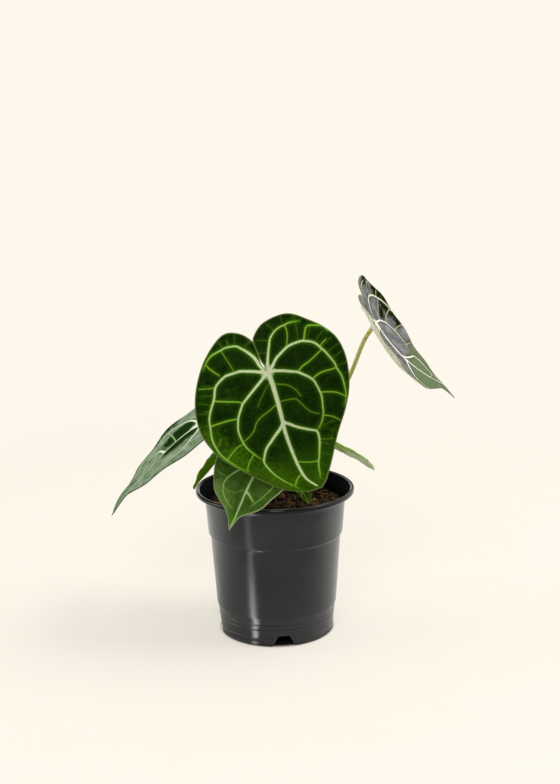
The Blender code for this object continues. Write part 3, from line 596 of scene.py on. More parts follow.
def petiole_route(leaf):
    """Straight out of the crown, then a cubic Bezier into the back of the blade."""
    angle, lean = math.radians(leaf.foot), math.radians(leaf.lean)
    outward = np.array([math.cos(angle), math.sin(angle), 0])
    foot = (np.array([*CROWN_AT, PETIOLE_SEAT]) + leaf.ring * outward) * MM
    aim = math.sin(lean) * outward + np.array([0, 0, math.cos(lean)])
    arrive = math.radians(leaf.arrive)
    heading = np.array(leaf.face) * math.cos(arrive) + np.array(leaf.along) * math.sin(arrive)
    start, end = foot + aim * SOCKET_STRAIGHT * MM, leaf.at
    first, second = start + aim * leaf.rise * MM, end - heading * leaf.slide * MM
    t = np.linspace(0, 1, PETIOLE_RINGS)[:, None]
    s = 1 - t
    curve = start * s ** 3 + first * 3 * t * s ** 2 + second * 3 * t ** 2 * s + end * t ** 3
    return np.concatenate([[foot], curve])


def ring_faces(rings, sides):
    """Quads between rings of points that follow one another."""
    k = np.arange(sides)
    after = (k + 1) % sides
    row = np.arange(rings - 1)[:, None] * sides
    return np.stack([row + k, row + after, row + sides + after, row + sides + k], 2).reshape(-1, 4).tolist()


def sweep(points, radii, sides, share=None):
    """Points and faces of a closed tube; share gives each side's part of the radius."""
    share = np.ones(sides) if share is None else share
    way = np.gradient(points, axis=0)
    way /= np.linalg.norm(way, axis=1)[:, None]
    side = np.cross(way[0], [0, 1, 0.2])
    places = []
    turn = np.linspace(0, 2 * math.pi, sides, endpoint=False)
    for p, w, r in zip(points, way, radii):
        side = side - w * (side @ w)
        side /= np.linalg.norm(side)
        ring = np.cos(turn)[:, None] * side + np.sin(turn)[:, None] * np.cross(w, side)
        places.append(p + ring * (r * share)[:, None])
    k = np.arange(sides)
    ends = [k[::-1].tolist(), ((len(points) - 1) * sides + k).tolist()]
    return np.concatenate(places), ring_faces(len(points), sides) + ends


def make_petiole(leaf):
    """A stalk, lightly grooved along its upper side, with a longer, paler neck under the blade."""
    points = petiole_route(leaf)
    walked = np.concatenate([[0], np.cumsum(np.linalg.norm(np.diff(points, axis=0), axis=1))])
    t = walked / walked[-1]
    swell = np.clip(1 - (walked[-1] - walked) / (NECK_LENGTH * MM), 0, 1)
    swell = swell * swell * (3 - 2 * swell)
    radii = PETIOLE_STEM + (PETIOLE_FOOT - PETIOLE_STEM) * (1 - t) ** 3
    radii = radii + (PETIOLE_NECK - PETIOLE_STEM) * swell
    if leaf.length < SMALLEST_BLADE:
        radii = radii * SMALLEST_STALK
    radii[-2:] = PETIOLE_TOP
    around = np.linspace(0, 2 * math.pi, PETIOLE_SIDES, endpoint=False)
    groove = 1 - GROOVE_DEPTH * np.exp(-(around - math.pi) ** 2 / GROOVE_WIDTH)
    groove = groove + RIDGE_HEIGHT * np.cos(7 * around)
    mesh = smooth_mesh(f"stalk_{leaf.name}", *sweep(points, radii * MM, PETIOLE_SIDES, groove))
    keep_values(mesh, up=np.repeat(t, PETIOLE_SIDES), neck=np.repeat(swell, PETIOLE_SIDES))
    finish_piece(f"stalk_{leaf.name}", mesh, [stalk_finish()], f"petiole_{leaf.name}")


def rounded(points, radius, steps=4):
    """A profile with each corner rounded by up to the radius."""
    points = [Vector(p) for p in points]
    out = [points[0]]
    for a, b, c in zip(points, points[1:], points[2:]):
        reach = min(radius, (b - a).length * CORNER_SHARE, (c - b).length * CORNER_SHARE)
        enter, leave = b + (a - b).normalized() * reach, b + (c - b).normalized() * reach
        for k in range(steps + 1):
            t = k / steps
            out.append(enter * (1 - t) ** 2 + b * 2 * t * (1 - t) + leave * t ** 2)
    return out + [points[-1]]


def turned_mesh(name, profile, steps):
    """A closed mesh turned about Z from (radius, height) points in millimetres, both ends on the axis."""
    ring = [(p[0], p[1]) for p in profile if p[0] > 1e-6]
    angles = np.linspace(0, 2 * math.pi, steps, endpoint=False)
    places = [(r * math.cos(a) * MM, r * math.sin(a) * MM, z * MM) for r, z in ring for a in angles]
    faces = ring_faces(len(ring), steps)
    for end, row, height in ((0, 0, profile[0][1]), (1, len(ring) - 1, profile[-1][1])):
        places.append((0, 0, height * MM))
        hub = len(places) - 1
        for k in range(steps):
            a, b = row * steps + k, row * steps + (k + 1) % steps
            faces.append((hub, b, a) if end == 0 else (hub, a, b))
    mesh = smooth_mesh(name, places, faces)
    work = bmesh.new()
    work.from_mesh(mesh)
    bmesh.ops.recalc_face_normals(work, faces=work.faces)
    work.to_mesh(mesh)
    work.free()
    return mesh


def along_line(height, start, end):
    """The (radius, height) point of a line at a height."""
    (r0, z0), (r1, z1) = start, end
    return r0 + (r1 - r0) * (height - z0) / (z1 - z0), height


def pot_wall(height):
    """Outer radius of the pot's wall at a height, in millimetres."""
    wall = [p for p in POT_OUTSIDE if p[0] < WALL_TOP_RADIUS]
    for upper, lower in zip(wall, wall[1:]):
        if lower[1] <= height <= upper[1]:
            return along_line(height, lower, upper)[0]
    return wall[0][0]


def ringed(outside):
    """The pot's outside with the fine moulded rings round its foot."""
    out = []
    for upper, lower in zip(outside, outside[1:]):
        out.append(upper)
        for z in FOOT_RINGS:
            if lower[1] + RING_HALF < z < upper[1] - RING_HALF:
                out.append(along_line(z + RING_HALF, lower, upper))
                out.append((along_line(z, lower, upper)[0] + RING_PROUD, z))
                out.append(along_line(z - RING_HALF, lower, upper))
    return out + [outside[-1]]


def pot_profile():
    """The pot's section from the middle of its floor over the lip to the middle of its underside."""
    inside = [(r - WALL, z) for r, z in reversed(POT_OUTSIDE)
              if FLOOR_TOP + 2 < z < WALL_TOP and r < WALL_TOP_RADIUS]
    bowl = [(0, FLOOR_TOP), (pot_wall(FLOOR_TOP) - WALL, FLOOR_TOP), *inside, LIP_UNDERCUT]
    underside = [(POT_OUTSIDE[-1][0] - FOOT_WALL, 0.0), (pot_wall(FLOOR_UNDER) - FOOT_WALL, FLOOR_UNDER),
                 (0, FLOOR_UNDER)]
    return rounded([*bowl, *POT_LIP, *ringed(POT_OUTSIDE), *underside], POT_CORNER)


def make_pot():
    """The pot with rounded edges, its foot notches and drain holes cut."""
    pot = placed_object("grower_pot", turned_mesh("grower_pot", pot_profile(), POT_STEPS))
    cutter = foot_cutter()
    boolean = pot.modifiers.new("cut", "BOOLEAN")
    boolean.operation, boolean.solver, boolean.object = "DIFFERENCE", "MANIFOLD", cutter
    cut = bpy.data.meshes.new_from_object(pot.evaluated_get(bpy.context.evaluated_depsgraph_get()))
    for extra in (pot, cutter):
        bpy.data.objects.remove(extra, do_unlink=True)
    cut.materials.clear()
    places = np.array([tuple(v.co) for v in cut.vertices]) / MM
    across, height = np.hypot(places[:, 0], places[:, 1]), places[:, 2]
    walls = np.array([pot_wall(z) for z in height])
    bowl_side = np.where(height < POT_INSIDE_TOP, across < walls - WALL * INSIDE_SHARE, across < LIP_INSIDE)
    keep_values(cut, inside=bowl_side.astype(float))
    cut.shade_smooth()
    cut.set_sharp_from_angle(angle=math.radians(POT_SHARP))
    finish_piece("grower_pot", cut, [pot_finish()], "pot")


def foot_cutter():
    """The four notches and seven drain holes as one mesh of separate bodies."""
    work = bmesh.new()
    reach = POT_OUTSIDE[-1][0]
    slope = (NOTCH_WIDE - NOTCH_NARROW) / NOTCH_HIGH
    for index in range(NOTCH_COUNT):
        turn = Matrix.Rotation(math.radians(NOTCH_TURN + 360 / NOTCH_COUNT * index), 3, "Z")
        for vertex in bmesh.ops.create_cube(work, size=1)["verts"]:
            height = NOTCH_HIGH if vertex.co.z > 0 else NOTCH_BELOW
            width = NOTCH_NARROW + slope * (NOTCH_HIGH - height)
            across, deep = vertex.co.x * width, -reach + vertex.co.y * NOTCH_DEEP
            vertex.co = turn @ Vector((across, deep, height)) * MM
    for index in range(DRAIN_COUNT + 1):
        angle = 2 * math.pi * index / DRAIN_COUNT + math.radians(NOTCH_TURN)
        ring = DRAIN_RING if index < DRAIN_COUNT else 0
        place = Vector((ring * math.sin(angle), -ring * math.cos(angle), (FLOOR_UNDER + FLOOR_TOP) / 2)) * MM
        bmesh.ops.create_cone(work, cap_ends=True, segments=DRAIN_SIDES, radius1=DRAIN_RADIUS * MM,
                              radius2=DRAIN_RADIUS * MM, depth=DRAIN_DEEP * MM,
                              matrix=Matrix.Translation(place))
    mesh = bpy.data.meshes.new("foot_cutter")
    work.to_mesh(mesh)
    work.free()
    return placed_object("foot_cutter", mesh)


def soil_height(x, y):
    """Height of the mix's lumpy top at a place, all in metres."""
    lump = noise.fractal(Vector((x, y, SOIL_TOP * MM)) / (LUMP_SIZE * MM), 1.0, 2.0, 3) * LUMP_HEIGHT
    crumb = noise.fractal(Vector((x, y, 0)) / (CRUMB_SIZE * MM), 0.9, 2.1, 3) * CRUMB_HEIGHT
    near = math.hypot(x / MM - CROWN_AT[0], y / MM - CROWN_AT[1])
    mound = MOUND_HEIGHT * math.exp(-(near / MOUND_RADIUS) ** 2)
    edge = pot_wall(SOIL_TOP) - WALL - SOIL_GAP - math.hypot(x, y) / MM
    return (SOIL_TOP + (lump + crumb) * min(1, max(0, edge / 3)) + mound) * MM


def make_soil():
    """The mix as a solid with a crumbly top."""
    edge = pot_wall(SOIL_TOP) - WALL - SOIL_GAP
    top = [(edge * (i + 0.5) / (SOIL_RINGS + 0.5), SOIL_TOP) for i in range(SOIL_RINGS + 1)]
    wall = [(pot_wall(z) - WALL - SOIL_GAP, z) for z in (*SOIL_SIDE, FLOOR_TOP + SOIL_GAP)]
    mesh = turned_mesh("bark_mix", [(0, SOIL_TOP), *top, *wall, (0, FLOOR_TOP + SOIL_GAP)], SOIL_STEPS)
    for vertex in mesh.vertices:
        if vertex.co.z > (SOIL_TOP - 1) * MM:
            vertex.co.z = soil_height(vertex.co.x, vertex.co.y)
    finish_piece("bark_mix", mesh, [soil_finish()], "soil")


def scatter(draw, count, keep_off):
    """Places on the mix, clear of the wall and the crown."""
    out = []
    while len(out) < count:
        x, y = draw.uniform(-SCATTER_HALF, SCATTER_HALF, 2)
        clear = math.hypot(x - CROWN_AT[0], y - CROWN_AT[1]) > CROWN_CLEAR
        if clear and math.hypot(x, y) < SCATTER_RADIUS - keep_off:
            out.append((x * MM, y * MM))
    return out


def make_bark():
    """Bark chips and crumbs, flat-lying and half sunk, as one mesh of small rough bodies."""
    draw = np.random.default_rng(BARK_SEED)
    ball = bmesh.new()
    bmesh.ops.create_icosphere(ball, subdivisions=2, radius=1)
    round_places = np.array([tuple(v.co) for v in ball.verts])
    round_faces = np.array([[v.index for v in f.verts] for f in ball.faces])
    ball.free()
    places, faces, shade, used = [], [], [], 0
    for size, count, sunk in BARK:
        for x, y in scatter(draw, count, size * 0.8):
            blocky = np.sign(round_places) * abs(round_places) ** draw.uniform(*BARK_BLOCKY)
            seed = Vector(draw.uniform(-90, 90, 3))
            rough = np.array([noise.noise(Vector(p) * BARK_GRAIN + seed) for p in round_places])
            body = blocky * (1 + BARK_ROUGH * rough)[:, None]
            body = body * np.array([1, draw.uniform(*BARK_WIDE), draw.uniform(*BARK_FLAT)])
            body = body * size * draw.uniform(*BARK_SIZES) * MM / BARK_SPAN
            tilt = Euler((draw.normal(0, BARK_TILT), draw.normal(0, BARK_TILT), draw.uniform(0, 6.3)))
            body = body @ np.array(tilt.to_matrix()).T
            rise = np.ptp(body[:, 2]) / 2
            body += [x, y, soil_height(x, y) + rise * (1 - 2 * sunk) * 0.7]
            places.append(body)
            faces.append(round_faces + used)
            shade.append(np.full(len(body), draw.uniform()))
            used += len(body)
    mesh = smooth_mesh("bark_chips", np.concatenate(places), np.concatenate(faces).tolist())
    keep_values(mesh, shade=np.concatenate(shade))
    mesh.set_sharp_from_angle(angle=math.radians(BARK_SHARP))
    finish_piece("bark_chips", mesh, [bark_finish()], None)


def make_fibres():
    """Loose coir fibres, lying over the chips."""
    draw = np.random.default_rng(FIBRE_SEED)
    places, faces, used = [], [], 0
    for x, y in scatter(draw, FIBRE_COUNT, FIBRE_OFF):
        turn, length = draw.uniform(0, 6.3), draw.uniform(*FIBRE_LONG) * MM
        bow = draw.normal(0, FIBRE_BOW)
        t = np.linspace(-0.5, 0.5, FIBRE_POINTS)
        along = np.stack([t, bow * (t * t - 0.08), np.zeros(FIBRE_POINTS)], 1) * length
        path = along @ np.array(Matrix.Rotation(turn, 3, "Z")).T + [x, y, 0]
        lift = draw.uniform(*FIBRE_LIFT)
        rise = (lift * (1 - 3.6 * t * t) + 0.4) * MM
        path[:, 2] = [soil_height(*p[:2]) + r for p, r in zip(path, rise)]
        body, quads = sweep(path, draw.uniform(*FIBRE_THICK) * MM * (1 - abs(t)), FIBRE_SIDES)
        places.append(body)
        faces += [[i + used for i in f] for f in quads]
        used += len(body)
    mesh = smooth_mesh("coir_fibres", np.concatenate(places), faces)
    finish_piece("coir_fibres", mesh, [fibre_finish()], None)


def make_crown():
    """The short ringed stem."""
    mesh = turned_mesh("crown_stem", rounded(CROWN_OUTLINE, CROWN_CORNER, CORNER_STEPS), CROWN_STEPS)
    for vertex in mesh.vertices:
        height, place = vertex.co.z / MM, Vector(vertex.co)
        rough = 1 + CROWN_ROUGH * noise.noise(place / (CROWN_ROUGH_SIZE * MM))
        rough = rough + CROWN_RING_HEIGHT * math.sin(height * CROWN_RING_RATE)
        vertex.co.x = vertex.co.x * rough + CROWN_AT[0] * MM
        vertex.co.y = vertex.co.y * rough + CROWN_AT[1] * MM
        vertex.co.z += CROWN_LUMP * MM * noise.noise(place / (CROWN_LUMP_SIZE * MM))
    finish_piece("crown_stem", mesh, [crown_finish()], "crown")


def make_sheaths():
    """Papery brown leaf sheaths that stand round the crown between the stalks."""
    draw = np.random.default_rng(SHEATH_SEED)
    places, faces, used = [], [], 0
    across, up = SHEATH_ACROSS, SHEATH_UP
    rows = across * up
    for k in range(SHEATH_COUNT):
        middle = 2 * math.pi * (k + 0.45) / SHEATH_COUNT + draw.normal(0, 0.12)
        tall, wide, flare = (draw.uniform(*span) for span in (SHEATH_TALL, SHEATH_WIDE, SHEATH_FLARE))
        for skin in (0, SHEATH_THICK):
            for j in range(up):
                v = j / (up - 1)
                for i in range(across):
                    u = i / (across - 1) * 2 - 1
                    turn = middle + u * wide * (1 - v ** 1.6) ** 0.7 + 0.03 * math.sin(9 * v + k)
                    r = SHEATH_RADIUS - skin + flare * v ** 2 + 0.5 * math.sin(5 * u + 7 * v + k)
                    z = SHEATH_FOOT + tall * v + 0.9 * math.sin(13 * u + k) * v
                    places.append(((CROWN_AT[0] + r * math.cos(turn)) * MM,
                                   (CROWN_AT[1] + r * math.sin(turn)) * MM, z * MM))
        for j in range(up - 1):
            for i in range(across - 1):
                a = used + j * across + i
                quad = (a, a + 1, a + across + 1, a + across)
                faces += [quad, tuple(q + rows for q in quad[::-1])]
        loop = [*range(across), *range(2 * across - 1, rows, across)]
        loop += [*range(rows - 2, rows - across - 1, -1), *range(rows - 2 * across, 0, -across)]
        for a, b in zip(loop, loop[1:] + loop[:1]):
            faces.append((used + b, used + a, used + a + rows, used + b + rows))
        used += 2 * rows
    mesh = smooth_mesh("leaf_sheaths", places, faces)
    finish_piece("leaf_sheaths", mesh, [sheath_finish()], None)


class Nodes:
    """The nodes of a material or a world. An input given as a socket is linked, and else it is set."""

    def __init__(self, owner):
        owner.use_nodes = True
        self.owner, self.tree = owner, owner.node_tree

    def add(self, kind, inputs, **settings):
        node = self.tree.nodes.new(kind)
        for key, value in settings.items():
            setattr(node, key, value)
        self.fill(node, inputs)
        return node

    def fill(self, node, inputs):
        for key, value in inputs.items():
            if isinstance(value, bpy.types.NodeSocket):
                self.tree.links.new(value, node.inputs[key])
            else:
                node.inputs[key].default_value = value

    def value(self, name, vector=False):
        made = self.add("ShaderNodeAttribute", {}, attribute_name=name)
        return made.outputs["Vector" if vector else "Fac"]

    def place(self):
        return self.add("ShaderNodeTexCoord", {}).outputs["Object"]

    def stretched(self, place, *scale):
        return self.add("ShaderNodeMapping", {"Vector": place, "Scale": scale}).outputs[0]

    def part(self, place, axis):
        return self.add("ShaderNodeSeparateXYZ", {0: place}).outputs[axis]

    def vector(self, kind, *inputs):
        return self.add("ShaderNodeVectorMath", dict(enumerate(inputs)), operation=kind).outputs

    def noise(self, place, scale, detail=3.0, rough=0.55):
        inputs = {"Vector": place, "Scale": scale, "Detail": detail, "Roughness": rough}
        return self.add("ShaderNodeTexNoise", inputs).outputs["Fac"]

    def cells(self, place, scale):
        inputs = {"Vector": place, "Scale": scale}
        return self.add("ShaderNodeTexVoronoi", inputs, feature="DISTANCE_TO_EDGE").outputs["Distance"]

    def ramp(self, value, low, high, to_low=0.0, to_high=1.0, kind="SMOOTHSTEP"):
        inputs = {"Value": value, "From Min": low, "From Max": high, "To Min": to_low, "To Max": to_high}
        return self.add("ShaderNodeMapRange", inputs, interpolation_type=kind).outputs["Result"]

    def math(self, kind, first, second=0.0):
        return self.add("ShaderNodeMath", {0: first, 1: second}, operation=kind).outputs[0]

    def times(self, first, second):
        return self.math("MULTIPLY", first, second)

    def plus(self, first, second):
        return self.math("ADD", first, second)

    def mix(self, share, first, second, blend="MIX"):
        first, second = (c if isinstance(c, bpy.types.NodeSocket) else (*c, 1) for c in (first, second))
        made = self.add("ShaderNodeMix", {0: share, 6: first, 7: second}, data_type="RGBA", blend_type=blend)
        return made.outputs[2]

    def either(self, share, first, second):
        """The first shader where the share is 0 and the second where it is 1."""
        return self.add("ShaderNodeMixShader", {0: share, 1: first, 2: second}).outputs[0]

    def bump(self, height, distance, below=None):
        inputs = {"Height": height, "Distance": distance}
        if below is not None:
            inputs["Normal"] = below
        return self.add("ShaderNodeBump", inputs).outputs["Normal"]

    def seen(self):
        return self.add("ShaderNodeLightPath", {}).outputs["Is Camera Ray"]

    def done(self, **inputs):
        self.fill(self.tree.nodes["Principled BSDF"], {k.replace("_", " "): v for k, v in inputs.items()})
        return self.owner


def finish(name):
    return Nodes(bpy.data.materials.new(name))


def look(**values):
    """A blade's colours and gloss: panels from deep to light with painted sheen in streaks, a green for the
    painted sheen and shade spots, the tip's end of another green, the glow beside the veins, the veins from
    green to white, the margin, and the underside with its veins."""
    usual = {"gloss": 0.0, "rough": 0.45, "end_from": 0.6, "streak": 0.2, "under_end": values["under"]}
    return SimpleNamespace(**{**usual, **values})


LOOKS = {
    "dark": look(deep=(0.0025, 0.012, 0.0003), light=(0.0075, 0.027, 0.0006), zone=(0.048, 0.120, 0.002),
                 end=(0.020, 0.062, 0.001), glow=(0.046, 0.16, 0.001), vein=(0.21, 0.43, 0.025),
                 white=(0.63, 0.69, 0.43), margin=(0.17, 0.25, 0.06), under=(0.20, 0.30, 0.12),
                 under_vein=(0.36, 0.42, 0.20), gloss=0.02, rough=0.5, streak=0.10),
    # Painted sheen: the grey panels and streaks stand for the velvet's sheen, the dark green spots are
    # painted shade, and the near-white underside is painted light shining through the blade
    "silver": look(deep=(0.06, 0.056, 0.06), light=(0.28, 0.27, 0.28), zone=(0.006, 0.012, 0.002),
                   end=(0.16, 0.21, 0.11), glow=(0.035, 0.05, 0.008), vein=(0.42, 0.46, 0.28),
                   white=(0.90, 0.91, 0.80), margin=(0.20, 0.22, 0.12), under=(0.92, 0.92, 0.68),
                   under_vein=(0.94, 0.94, 0.74), end_from=0.42, streak=0.42),
    # Painted sheen: the pale silver-green panels and streaks stand for the velvet's sheen, and the dark
    # green spots are painted shade
    "silver_green": look(deep=(0.095, 0.155, 0.08), light=(0.32, 0.40, 0.28), zone=(0.009, 0.032, 0.004),
                         end=(0.17, 0.25, 0.14), glow=(0.035, 0.095, 0.014), vein=(0.42, 0.58, 0.24),
                         white=(0.85, 0.90, 0.74), margin=(0.07, 0.12, 0.03), under=(0.30, 0.38, 0.22),
                         under_vein=(0.46, 0.52, 0.32), streak=0.4),
    "grey_green": look(deep=(0.018, 0.056, 0.004), light=(0.058, 0.118, 0.018), zone=(0.14, 0.23, 0.05),
                       end=(0.065, 0.20, 0.005), glow=(0.085, 0.185, 0.018), vein=(0.20, 0.34, 0.06),
                       white=(0.44, 0.56, 0.26), margin=(0.32, 0.42, 0.18), under=(0.22, 0.32, 0.13),
                       under_vein=(0.36, 0.42, 0.22), gloss=0.015, rough=0.42, end_from=0.74, streak=0.22),
    "young": look(deep=(0.050, 0.16, 0.001), light=(0.090, 0.22, 0.002), zone=(0.15, 0.34, 0.03),
                  end=(0.42, 0.55, 0.26), glow=(0.10, 0.25, 0.004), vein=(0.17, 0.33, 0.01),
                  white=(0.30, 0.44, 0.10), margin=(0.20, 0.34, 0.05), under=(0.20, 0.40, 0.02),
                  under_vein=(0.38, 0.50, 0.14), end_from=0.62, under_end=(0.66, 0.76, 0.48)),
    # Painted light: the bright pale green of the underside, partly its own pale green, lightens it against
    # the shade it lies in
    "young_pale": look(deep=(0.15, 0.35, 0.002), light=(0.21, 0.43, 0.004), zone=(0.26, 0.35, 0.15),
                       end=(0.36, 0.47, 0.23), glow=(0.20, 0.42, 0.01), vein=(0.25, 0.42, 0.04),
                       white=(0.42, 0.55, 0.20), margin=(0.26, 0.40, 0.10), under=(0.42, 0.74, 0.02),
                       under_vein=(0.74, 0.84, 0.48), end_from=0.35, under_end=(0.78, 0.90, 0.54)),
    "inner": look(deep=(0.016, 0.046, 0.002), light=(0.036, 0.085, 0.005), zone=(0.18, 0.26, 0.02),
                  end=(0.16, 0.28, 0.01), glow=(0.05, 0.12, 0.006), vein=(0.12, 0.23, 0.02),
                  white=(0.26, 0.36, 0.08), margin=(0.14, 0.22, 0.03), under=(0.20, 0.34, 0.08),
                  under_vein=(0.38, 0.46, 0.20), end_from=0.7),
}


@cache
def leaf_upper(name):
    """Velvety panels under a faint net, with painted sheen in streaks and painted sheen and shade in spots,
    and pale veins that glow into the green beside them.
    """
    green = LOOKS[name]
    n = finish(f"leaf_upper_{name}")
    sheet = n.value("sheet", vector=True)
    vein, pale, halo, edge, sheen_and_shade = (n.value(v) for v in ("vein", "pale", "halo", "edge", "sheen_and_shade"))
    panels = n.mix(n.ramp(n.noise(sheet, 0.11, 4.0), 0.30, 0.70), green.deep, green.light)
    # Painted sheen: lighter streaks along the blade
    streak = n.ramp(n.noise(n.stretched(sheet, 1, 0.16, 1), 0.8, 4.0, 0.65), 0.42, 0.68, 0.0, green.streak)
    panels = n.mix(streak, panels, tuple(1.7 * c for c in green.light))
    panels = n.mix(n.ramp(n.value("far"), green.end_from, green.end_from + END_REACH), panels, green.end)
    uneven = n.ramp(n.noise(sheet, 0.35, 3.0), 0.3, 0.7, -0.18, 0.18)
    # Painted sheen and shade: the spots take the look's green, brighter on the front and drape blades and
    # darker on the silver ones
    panels = n.mix(n.ramp(n.plus(sheen_and_shade, uneven), 0.15, 0.85), panels, green.zone)
    net = n.ramp(n.cells(sheet, NET_SCALE), 0.0, 0.09, 1.0, 0.0)
    panels = n.mix(n.times(net, 0.14), panels, green.glow)
    nap = n.ramp(n.noise(sheet, 2.6, 2.0), 0.3, 0.7, 0.84, 1.14)
    nap = n.add("ShaderNodeCombineXYZ", {0: nap, 1: nap, 2: nap}).outputs[0]
    panels = n.mix(1.0, panels, nap, "MULTIPLY")
    colour = n.mix(halo, panels, green.glow)
    colour = n.mix(n.ramp(vein, 0.03, 0.50), colour, green.vein)
    colour = n.mix(n.ramp(n.times(vein, pale), 0.12, 0.60), colour, green.white)
    colour = n.mix(n.ramp(edge, 0.25, 0.80, 0.0, 0.85), colour, green.margin)
    normal = n.bump(n.ramp(n.cells(sheet, NET_SCALE), 0.0, 0.22), 0.14 * MM)
    normal = n.bump(n.noise(sheet, 1.6, 3.0), 0.10 * MM, normal)
    return n.done(Base_Color=colour, Normal=normal, Roughness=green.rough, Specular_IOR_Level=green.gloss)


@cache
def leaf_under(name):
    """The matt, paler underside."""
    green = LOOKS[name]
    n = finish(f"leaf_under_{name}")
    sheet = n.value("sheet", vector=True)
    far = n.ramp(n.value("far"), green.end_from, green.end_from + END_REACH)
    panels = n.mix(far, green.under, green.under_end)
    mottle = n.ramp(n.noise(sheet, 0.14, 4.0), 0.3, 0.7)
    colour = n.mix(n.ramp(mottle, 0.0, 1.0, 0.15, 0.0), panels, (0, 0, 0))
    net = n.ramp(n.cells(sheet, NET_SCALE), 0.0, 0.08, 1.0, 0.0)
    colour = n.mix(n.times(net, 0.30), colour, green.under_vein)
    colour = n.mix(n.ramp(n.value("vein"), 0.05, 0.6), colour, green.under_vein)
    normal = n.bump(n.ramp(n.cells(sheet, NET_SCALE), 0.0, 0.2, 1.0, 0.0), 0.14 * MM)
    normal = n.bump(n.noise(sheet, 1.9, 3.0), 0.06 * MM, normal)
    return n.done(Base_Color=colour, Normal=normal, Roughness=0.62, Specular_IOR_Level=0.3)


@cache
def stalk_finish():
    """Olive stalk, browner at its foot and paler at the neck, with fine streaks and pores."""
    n = finish("stalk_olive")
    place = n.place()
    long = n.stretched(place, 1, 1, 0.08)
    colour = n.mix(n.ramp(n.noise(long, 1400, 3.0), 0.3, 0.7), (0.42, 0.37, 0.07), (0.64, 0.58, 0.18))
    colour = n.mix(n.ramp(n.value("up"), 0.0, 0.35, 0.75, 0.0), colour, (0.17, 0.11, 0.045))
    colour = n.mix(n.times(n.value("neck"), 0.55), colour, (0.60, 0.57, 0.24))
    pores = n.ramp(n.cells(place, 900), 0.0, 0.12, 1.0, 0.0)
    colour = n.mix(n.times(pores, 0.20), colour, (0.52, 0.46, 0.22))
    normal = n.bump(n.noise(long, 1800, 2.0), 0.12 * MM)
    return n.done(Base_Color=colour, Normal=normal, Roughness=0.42, Specular_IOR_Level=0.45)


def crown_finish():
    """Brown-green fibrous stem."""
    n = finish("crown_fibrous")
    place = n.place()
    fibre = n.ramp(n.noise(n.stretched(place, 1, 1, 4), 320, 5.0), 0.3, 0.7)
    colour = n.mix(fibre, (0.055, 0.035, 0.015), (0.20, 0.17, 0.06))
    colour = n.mix(n.ramp(n.noise(place, 110, 3.0), 0.5, 0.7), colour, (0.14, 0.16, 0.05))
    return n.done(Base_Color=colour, Normal=n.bump(fibre, 0.6 * MM), Roughness=0.8)


def sheath_finish():
    """Dry, papery leaf sheaths with lengthwise fibres."""
    n = finish("sheath_papery")
    place = n.place()
    fibre = n.ramp(n.noise(n.stretched(place, 1, 1, 0.12), 1100, 4.0), 0.3, 0.7)
    colour = n.mix(fibre, (0.10, 0.055, 0.022), (0.36, 0.25, 0.12))
    colour = n.mix(n.ramp(n.noise(place, 160, 2.0), 0.55, 0.75), colour, (0.46, 0.37, 0.20))
    return n.done(Base_Color=colour, Normal=n.bump(fibre, 0.3 * MM), Roughness=0.75)


def soil_finish():
    """Dark damp fines between the chips."""
    n = finish("mix_fines")
    place = n.place()
    grain = n.noise(place, 700, 5.0, 0.7)
    colour = n.mix(n.ramp(grain, 0.35, 0.7), (0.005, 0.003, 0.002), (0.050, 0.026, 0.013))
    colour = n.mix(n.ramp(n.noise(place, 90, 3.0), 0.45, 0.7), colour, (0.014, 0.007, 0.004))
    return n.done(Base_Color=colour, Normal=n.bump(grain, 1.2 * MM), Roughness=0.95, Specular_IOR_Level=0.25)


def bark_finish():
    """Bark chips, each a brown of its own, with fibrous faces."""
    n = finish("bark_brown")
    shade = n.value("shade")
    colour = n.mix(n.ramp(shade, 0.0, 0.6), (0.005, 0.002, 0.001), (0.062, 0.027, 0.012))
    colour = n.mix(n.ramp(shade, 0.60, 1.0), colour, (0.32, 0.16, 0.08))
    fibre = n.noise(n.stretched(n.place(), 1, 0.25, 1), 900, 4.0)
    colour = n.mix(n.ramp(fibre, 0.45, 0.75, 0.0, 0.5), colour, (0.12, 0.060, 0.030))
    return n.done(Base_Color=colour, Normal=n.bump(fibre, 0.5 * MM), Roughness=0.88, Specular_IOR_Level=0.12)


def fibre_finish():
    n = finish("coir_tan")
    colour = n.mix(n.noise(n.place(), 260, 2.0), (0.10, 0.055, 0.025), (0.34, 0.22, 0.11))
    return n.done(Base_Color=colour, Roughness=0.8)


